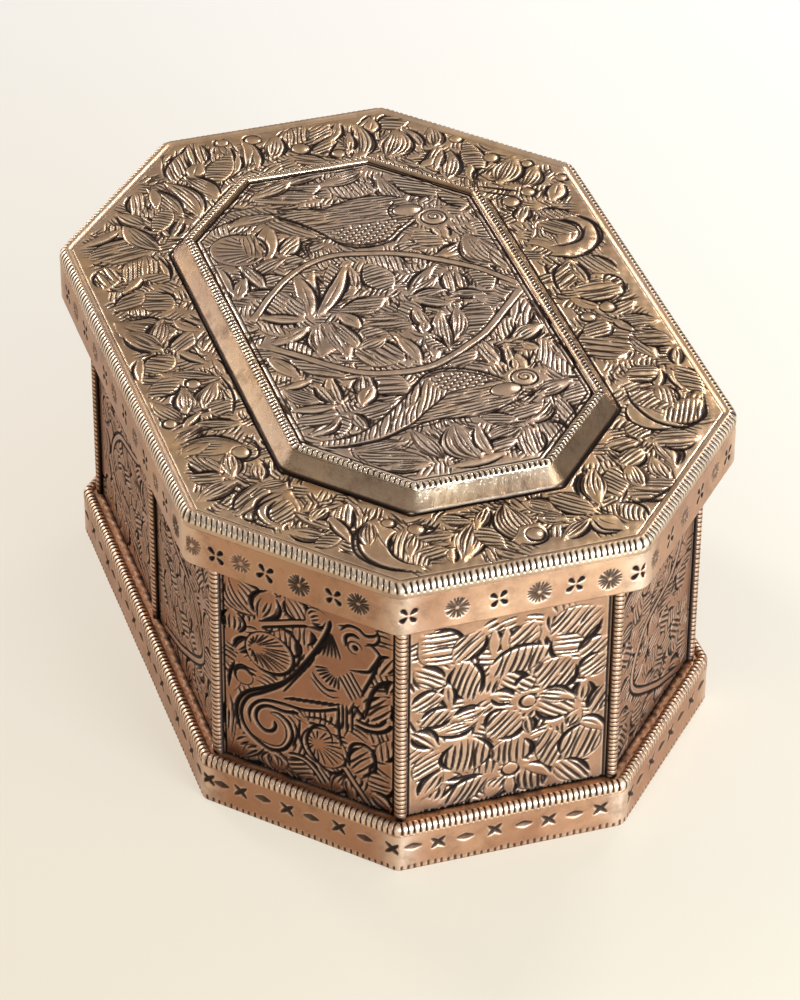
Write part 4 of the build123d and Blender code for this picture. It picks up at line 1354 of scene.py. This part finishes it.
def post(node, centre, first, last, material):
    """A half-round upright with milled strokes across it, between two bearings in radians."""
    zs = rows(ledge_height, panel_top, BEAD_STEP)
    bearings = np.linspace(first, last, 15)
    middle = (first + last) / 2
    steps = rng.uniform(0.85, 1.15, 90)
    phase = np.interp(zs, ledge_height + POST_PITCH * np.cumsum(steps), np.arange(90))
    loops, dirt_and_shade, wear_and_highlight = blank(len(zs), len(bearings) + 1)
    loops[:, :, 2] = zs[:, None]
    for j, a in enumerate(bearings):
        across = (a - middle) / (last - first)
        deep, dark, ridge = milled(phase + 0.6 * across, POST_PITCH, across / 0.8 + 0.5, 0.17, 0.3)
        r = post_radius - 0.1 - 0.12 * deep
        loops[:, j, 0] = centre[0] + r * cos(a)
        loops[:, j, 1] = centre[1] + r * sin(a)
        # Painted shade: the post's two sides, where it turns in against the panels, are darkened
        # almost to black.
        dirt_and_shade[:, j] = np.maximum(dark, 0.95 * np.clip((abs(across) - 0.28) / 0.1, 0, 1))
        wear_and_highlight[:, j] = 0.5 * ridge
    loops[:, -1, :2] = centre
    dirt_and_shade[:, -1] = 0.8
    build(("post_" + node, "case", node, "mouldings", material), loops[:, ::-1], dirt_and_shade[:, ::-1],
          wear_and_highlight[:, ::-1], False)


def posts(material):
    names = ["front_post_left", "front_post_right", "right_post_front", "right_post_back",
             "back_post_right", "back_post_left", "left_post_back", "left_post_front"]
    for k, node in enumerate(names):
        before, after = side((k - 1) % 8, panel_inset), side(k, panel_inset)
        first = atan2(-before[1][1], -before[1][0])
        last = atan2(after[1][1], after[1][0])
        while last < first:
            last += 2 * pi
        post(node, after[0], first, last, material)
    for node, number in (("front_post_middle", 0), ("back_post_middle", 4)):
        start, along, _, length = side(number, panel_inset)
        first = atan2(-along[1], -along[0])
        post(node, start + along * length / 2, first, first + pi, material)


# Materials

class Nodes:
    """A short way to write a node tree."""

    def __init__(self, owner):
        owner.use_nodes = True
        self.tree = owner.node_tree
        self.tree.nodes.clear()

    def put(self, socket, value):
        if isinstance(value, bpy.types.NodeSocket):
            self.tree.links.new(value, socket)
        else:
            socket.default_value = value

    def new(self, kind, inputs=None, **settings):
        node = self.tree.nodes.new("ShaderNode" + kind)
        for key, value in settings.items():
            setattr(node, key, value)
        for key, value in (inputs or {}).items():
            self.put(node.inputs[key], value)
        return node

    def noise(self, vector, scale, detail=3.0, roughness=0.55):
        node = self.new("TexNoise", {"Vector": vector, "Scale": scale, "Detail": detail,
                                     "Roughness": roughness})
        return node.outputs["Fac"]

    def remap(self, value, low, high, to_low=0.0, to_high=1.0):
        node = self.new("MapRange", {"Value": value, "From Min": low, "From Max": high,
                                     "To Min": to_low, "To Max": to_high})
        return node.outputs["Result"]

    def math(self, operation, a, b):
        return self.new("Math", {0: a, 1: b}, operation=operation).outputs[0]

    def along(self, vector, direction):
        node = self.new("VectorMath", {0: vector, 1: direction}, operation="DOT_PRODUCT")
        return node.outputs["Value"]

    def mix(self, factor, a, b):
        node = self.new("Mix", {0: factor}, data_type="RGBA")
        for socket, value in ((node.inputs[6], a), (node.inputs[7], b)):
            self.put(socket, (*value, 1.0) if isinstance(value, tuple) else value)
        return node.outputs[2]


# Colours that all the metals share
GOLD = (0.56, 0.35, 0.18)
STAIN = (0.16, 0.085, 0.05)
# Dirt and painted shade: brown at the edges of the cuts and in the hollows, near black in the cuts
# and along the sides of the posts
DIRT_AND_SHADE_BROWN = (0.10, 0.055, 0.035)
SOOT_AND_SHADE_BLACK = (0.018, 0.011, 0.009)
GRAIN_DEPTH = 0.06 * MM


def brass(name, bright, deep, worn_and_highlight, rough, gold=0.0, stain=0.3, grain=(0.25, 1500.0)):
    """Old chased metal: two tones in soft patches, dirt and painted shade in the cuts, hollows and
    creases, and ridges lightened by wear and painted highlight.

    Gold is how yellow some patches are and stain how brown others are. The grain is the strength
    and the scale of its fine roughness."""
    material = bpy.data.materials.new(name)
    n = Nodes(material)
    place = n.new("TexCoord").outputs["Object"]
    dirt_and_shade = n.new("Attribute", attribute_name="dirt_and_shade").outputs["Fac"]
    wear_and_highlight = n.new("Attribute", attribute_name="wear_and_highlight").outputs["Fac"]
    broad = n.remap(n.noise(place, 28.0, 2.0), 0.36, 0.64)
    fine = n.noise(place, 420.0, 4.0, 0.65)
    tone = n.mix(n.math("MULTIPLY", broad, 0.6), bright, deep)
    tone = n.mix(n.remap(fine, 0.45, 0.75, 0.0, 0.35), tone, deep)
    tone = n.mix(n.remap(n.noise(place, 45.0), 0.45, 0.62, 0.0, gold), tone, GOLD)
    # Painted highlight, partly wear: the ridges beside the cuts and the worn corners take the paler
    # tone.
    tone = n.mix(n.math("MULTIPLY", wear_and_highlight, 0.75), tone, worn_and_highlight)
    tone = n.mix(n.remap(n.noise(place, 190.0, 5.0, 0.7), 0.5, 0.68, 0.0, stain), tone, STAIN)
    # Dirt and painted shade darken the cuts, the hollows and the creases.
    tone = n.mix(n.remap(dirt_and_shade, 0.05, 0.5, 0.0, 0.85), tone, DIRT_AND_SHADE_BROWN)
    colour = n.mix(n.remap(dirt_and_shade, 0.5, 0.95), tone, SOOT_AND_SHADE_BLACK)
    gloss = n.remap(n.noise(place, 90.0), 0.3, 0.7, rough - 0.05, rough + 0.1)
    roughness = n.math("ADD", gloss, n.math("MULTIPLY", dirt_and_shade, 0.3))
    bump = n.new("Bump", {"Strength": grain[0], "Distance": GRAIN_DEPTH,
                          "Height": n.noise(place, grain[1])})
    shader = n.new("BsdfPrincipled", {"Base Color": colour, "Metallic": 1.0,
                                      "Roughness": roughness, "Normal": bump.outputs["Normal"]})
    n.new("OutputMaterial", {"Surface": shader.outputs["BSDF"]})
    return material


def floor_material():
    """A pale floor, a little darker and warmer towards the front."""
    material = bpy.data.materials.new("pale_floor")
    n = Nodes(material)
    place = n.new("TexCoord").outputs["Object"]
    near = n.remap(n.along(place, (0.95, -0.31, 0)), -0.25, 0.1)
    colour = n.mix(near, (0.885, 0.85, 0.797), (0.86, 0.77, 0.63))
    share = n.remap(n.along(place, (-0.31, -0.95, 0)), -0.1, 0.1, 0.28, 0.90)
    matt = n.new("BsdfPrincipled", {"Base Color": colour, "Roughness": 0.9,
                                    "Specular IOR Level": 0.1})
    glow = n.new("Emission", {"Color": colour, "Strength": 1.0})
    ray = n.new("LightPath")
    seen = n.math("MAXIMUM", ray.outputs["Is Camera Ray"], ray.outputs["Is Glossy Ray"])
    seen = n.math("MAXIMUM", seen, ray.outputs["Is Transmission Ray"])
    surface = n.new("MixShader", {0: n.math("MULTIPLY", seen, share), 1: matt.outputs["BSDF"],
                                  2: glow.outputs["Emission"]})
    n.new("OutputMaterial", {"Surface": surface.outputs["Shader"]})
    return material


def stage():
    mesh = bpy.data.meshes.new("floor")
    reach = 3.0
    mesh.from_pydata([(-reach, -reach, 0), (reach, -reach, 0), (reach, reach, 0),
                      (-reach, reach, 0)], [], [(0, 1, 2, 3)])
    mesh.materials.append(floor_material())
    floor = added("floor", mesh)


def lamp(name, direction, distance, size, level, colour=(1, 1, 1)):
    """A softbox aimed at the box. A white card that faces it there would look as bright as level."""
    light = bpy.data.lights.new(name, "AREA")
    light.shape = "RECTANGLE"
    light.size, light.size_y = size
    light.energy = level * (pi * distance) ** 2
    light.color = colour
    holder = added(name, light)
    aim = -Vector(direction).normalized()
    holder.location = Vector((0, 0, 0.05)) - aim * distance
    holder.rotation_euler = aim.to_track_quat("-Z", "Y").to_euler()


def lights():
    lamp("key", (0.55, 0.62, 0.56), 1.0, (0.35, 0.3), 0.2, (1.0, 0.98, 0.95))
    lamp("low_right", (0.95, 0.32, 0.09), 1.0, (0.5, 0.16), 2.5, (0.78, 1.03, 1.25))
    lamp("low_left", (-0.76, -0.64, 0.26), 1.1, (1.1, 0.55), 0.2)
    lamp("back", (-0.55, 0.55, 0.62), 1.1, (0.2, 0.15), 0.28)
    lamp("back_left", (-0.80, -0.35, 0.50), 1.1, (0.2, 0.15), 0.28)
    world = bpy.data.worlds.new("studio")
    bpy.context.scene.world = world
    n = Nodes(world)
    height = n.new("SeparateXYZ", {"Vector": n.new("TexCoord").outputs["Generated"]}).outputs["Z"]
    sky = n.new("Background", {"Color": (1.0, 0.97, 0.93, 1.0),
                               "Strength": n.remap(height, 0.2, 1.0, 0.28, 0.74)})
    n.new("OutputWorld", {"Surface": sky.outputs[0]})


# The photograph's viewpoint, from the corners of the box in it
camera_azimuth = 71.85
camera_elevation = 36.39
camera_roll = 0.50
camera_distance = 809.8
camera_target = (11.56, -1.50, 35.0)
lens_in_frame_heights = 4.385
sensor = 36.0


def camera():
    data = bpy.data.cameras.new("camera")
    data.sensor_width = sensor
    data.lens = sensor * lens_in_frame_heights
    data.clip_start = 0.01
    holder = added("camera", data)
    a, e, roll = (radians(v) for v in (camera_azimuth, camera_elevation, camera_roll))
    back = Vector((sin(a) * cos(e), -cos(a) * cos(e), sin(e)))
    level = (-back).cross(Vector((0, 0, 1))).normalized()
    raised = level.cross(-back)
    right = cos(roll) * level + sin(roll) * raised
    up = -sin(roll) * level + cos(roll) * raised
    place = (Vector(camera_target) + back * camera_distance) * MM
    turn = Matrix((right, up, back)).transposed()
    holder.matrix_world = Matrix.Translation(place) @ turn.to_4x4()
    bpy.context.scene.camera = holder


# For each metal: its two tones, the tone of its worn ridges and painted highlights, its roughness,
# gold, stain and grain
METALS = {
    "field": ((0.59, 0.425, 0.32), (0.45, 0.285, 0.19), (0.92, 0.81, 0.68), 0.27, 0.6, 0.35),
    "border": ((0.62, 0.42, 0.27), (0.45, 0.27, 0.155), (0.84, 0.71, 0.55), 0.27, 0.9, 0.35),
    # Panel and end are one brass: panel a darker copy, painted shade for the sides turned from the
    # light, end a lighter copy for the lit end faces.
    "panel": ((0.385, 0.18, 0.10), (0.27, 0.12, 0.065), (0.72, 0.50, 0.36), 0.40),
    "end": ((0.43, 0.23, 0.132), (0.30, 0.148, 0.08), (0.76, 0.56, 0.40), 0.40),
    "trim": ((0.50, 0.27, 0.16), (0.34, 0.165, 0.09), (0.82, 0.62, 0.46), 0.42, 0.25, 0.45),
    # Plinth is a darker copy of trim, painted shade for the plinth's faces near the floor.
    "plinth": ((0.45, 0.225, 0.125), (0.30, 0.135, 0.072), (0.82, 0.62, 0.46), 0.42, 0.15, 0.45),
    "rim": ((0.56, 0.40, 0.28), (0.40, 0.25, 0.155), (0.88, 0.75, 0.60), 0.36, 0.4, 0.3),
    "bevel": ((0.49, 0.355, 0.245), (0.35, 0.215, 0.135), (0.90, 0.80, 0.64), 0.22, 0.5, 0.6,
              (1.0, 3600.0)),
}

camera()
lights()
stage()
metals = {name: brass(name + "_brass", *look) for name, look in METALS.items()}
lid_border(metals["border"])
lid_bevel(metals["bevel"])
lid_field(metals["field"])
beads(metals["trim"], metals["rim"], metals["bevel"])
lid_skirt(metals["trim"])
# The plinth takes the darker copy of the trim's brass, as painted shade near the floor.
plinth(metals["plinth"])
panels(metals["panel"], metals["end"])
posts(metals["trim"])
for node in ("floor_plate", "mouth_band", "lid_inner_band"):
    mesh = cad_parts[node].data
    mesh.materials.clear()
    mesh.materials.append(metals["panel"])

bpy.context.scene.view_settings.view_transform = "Standard"
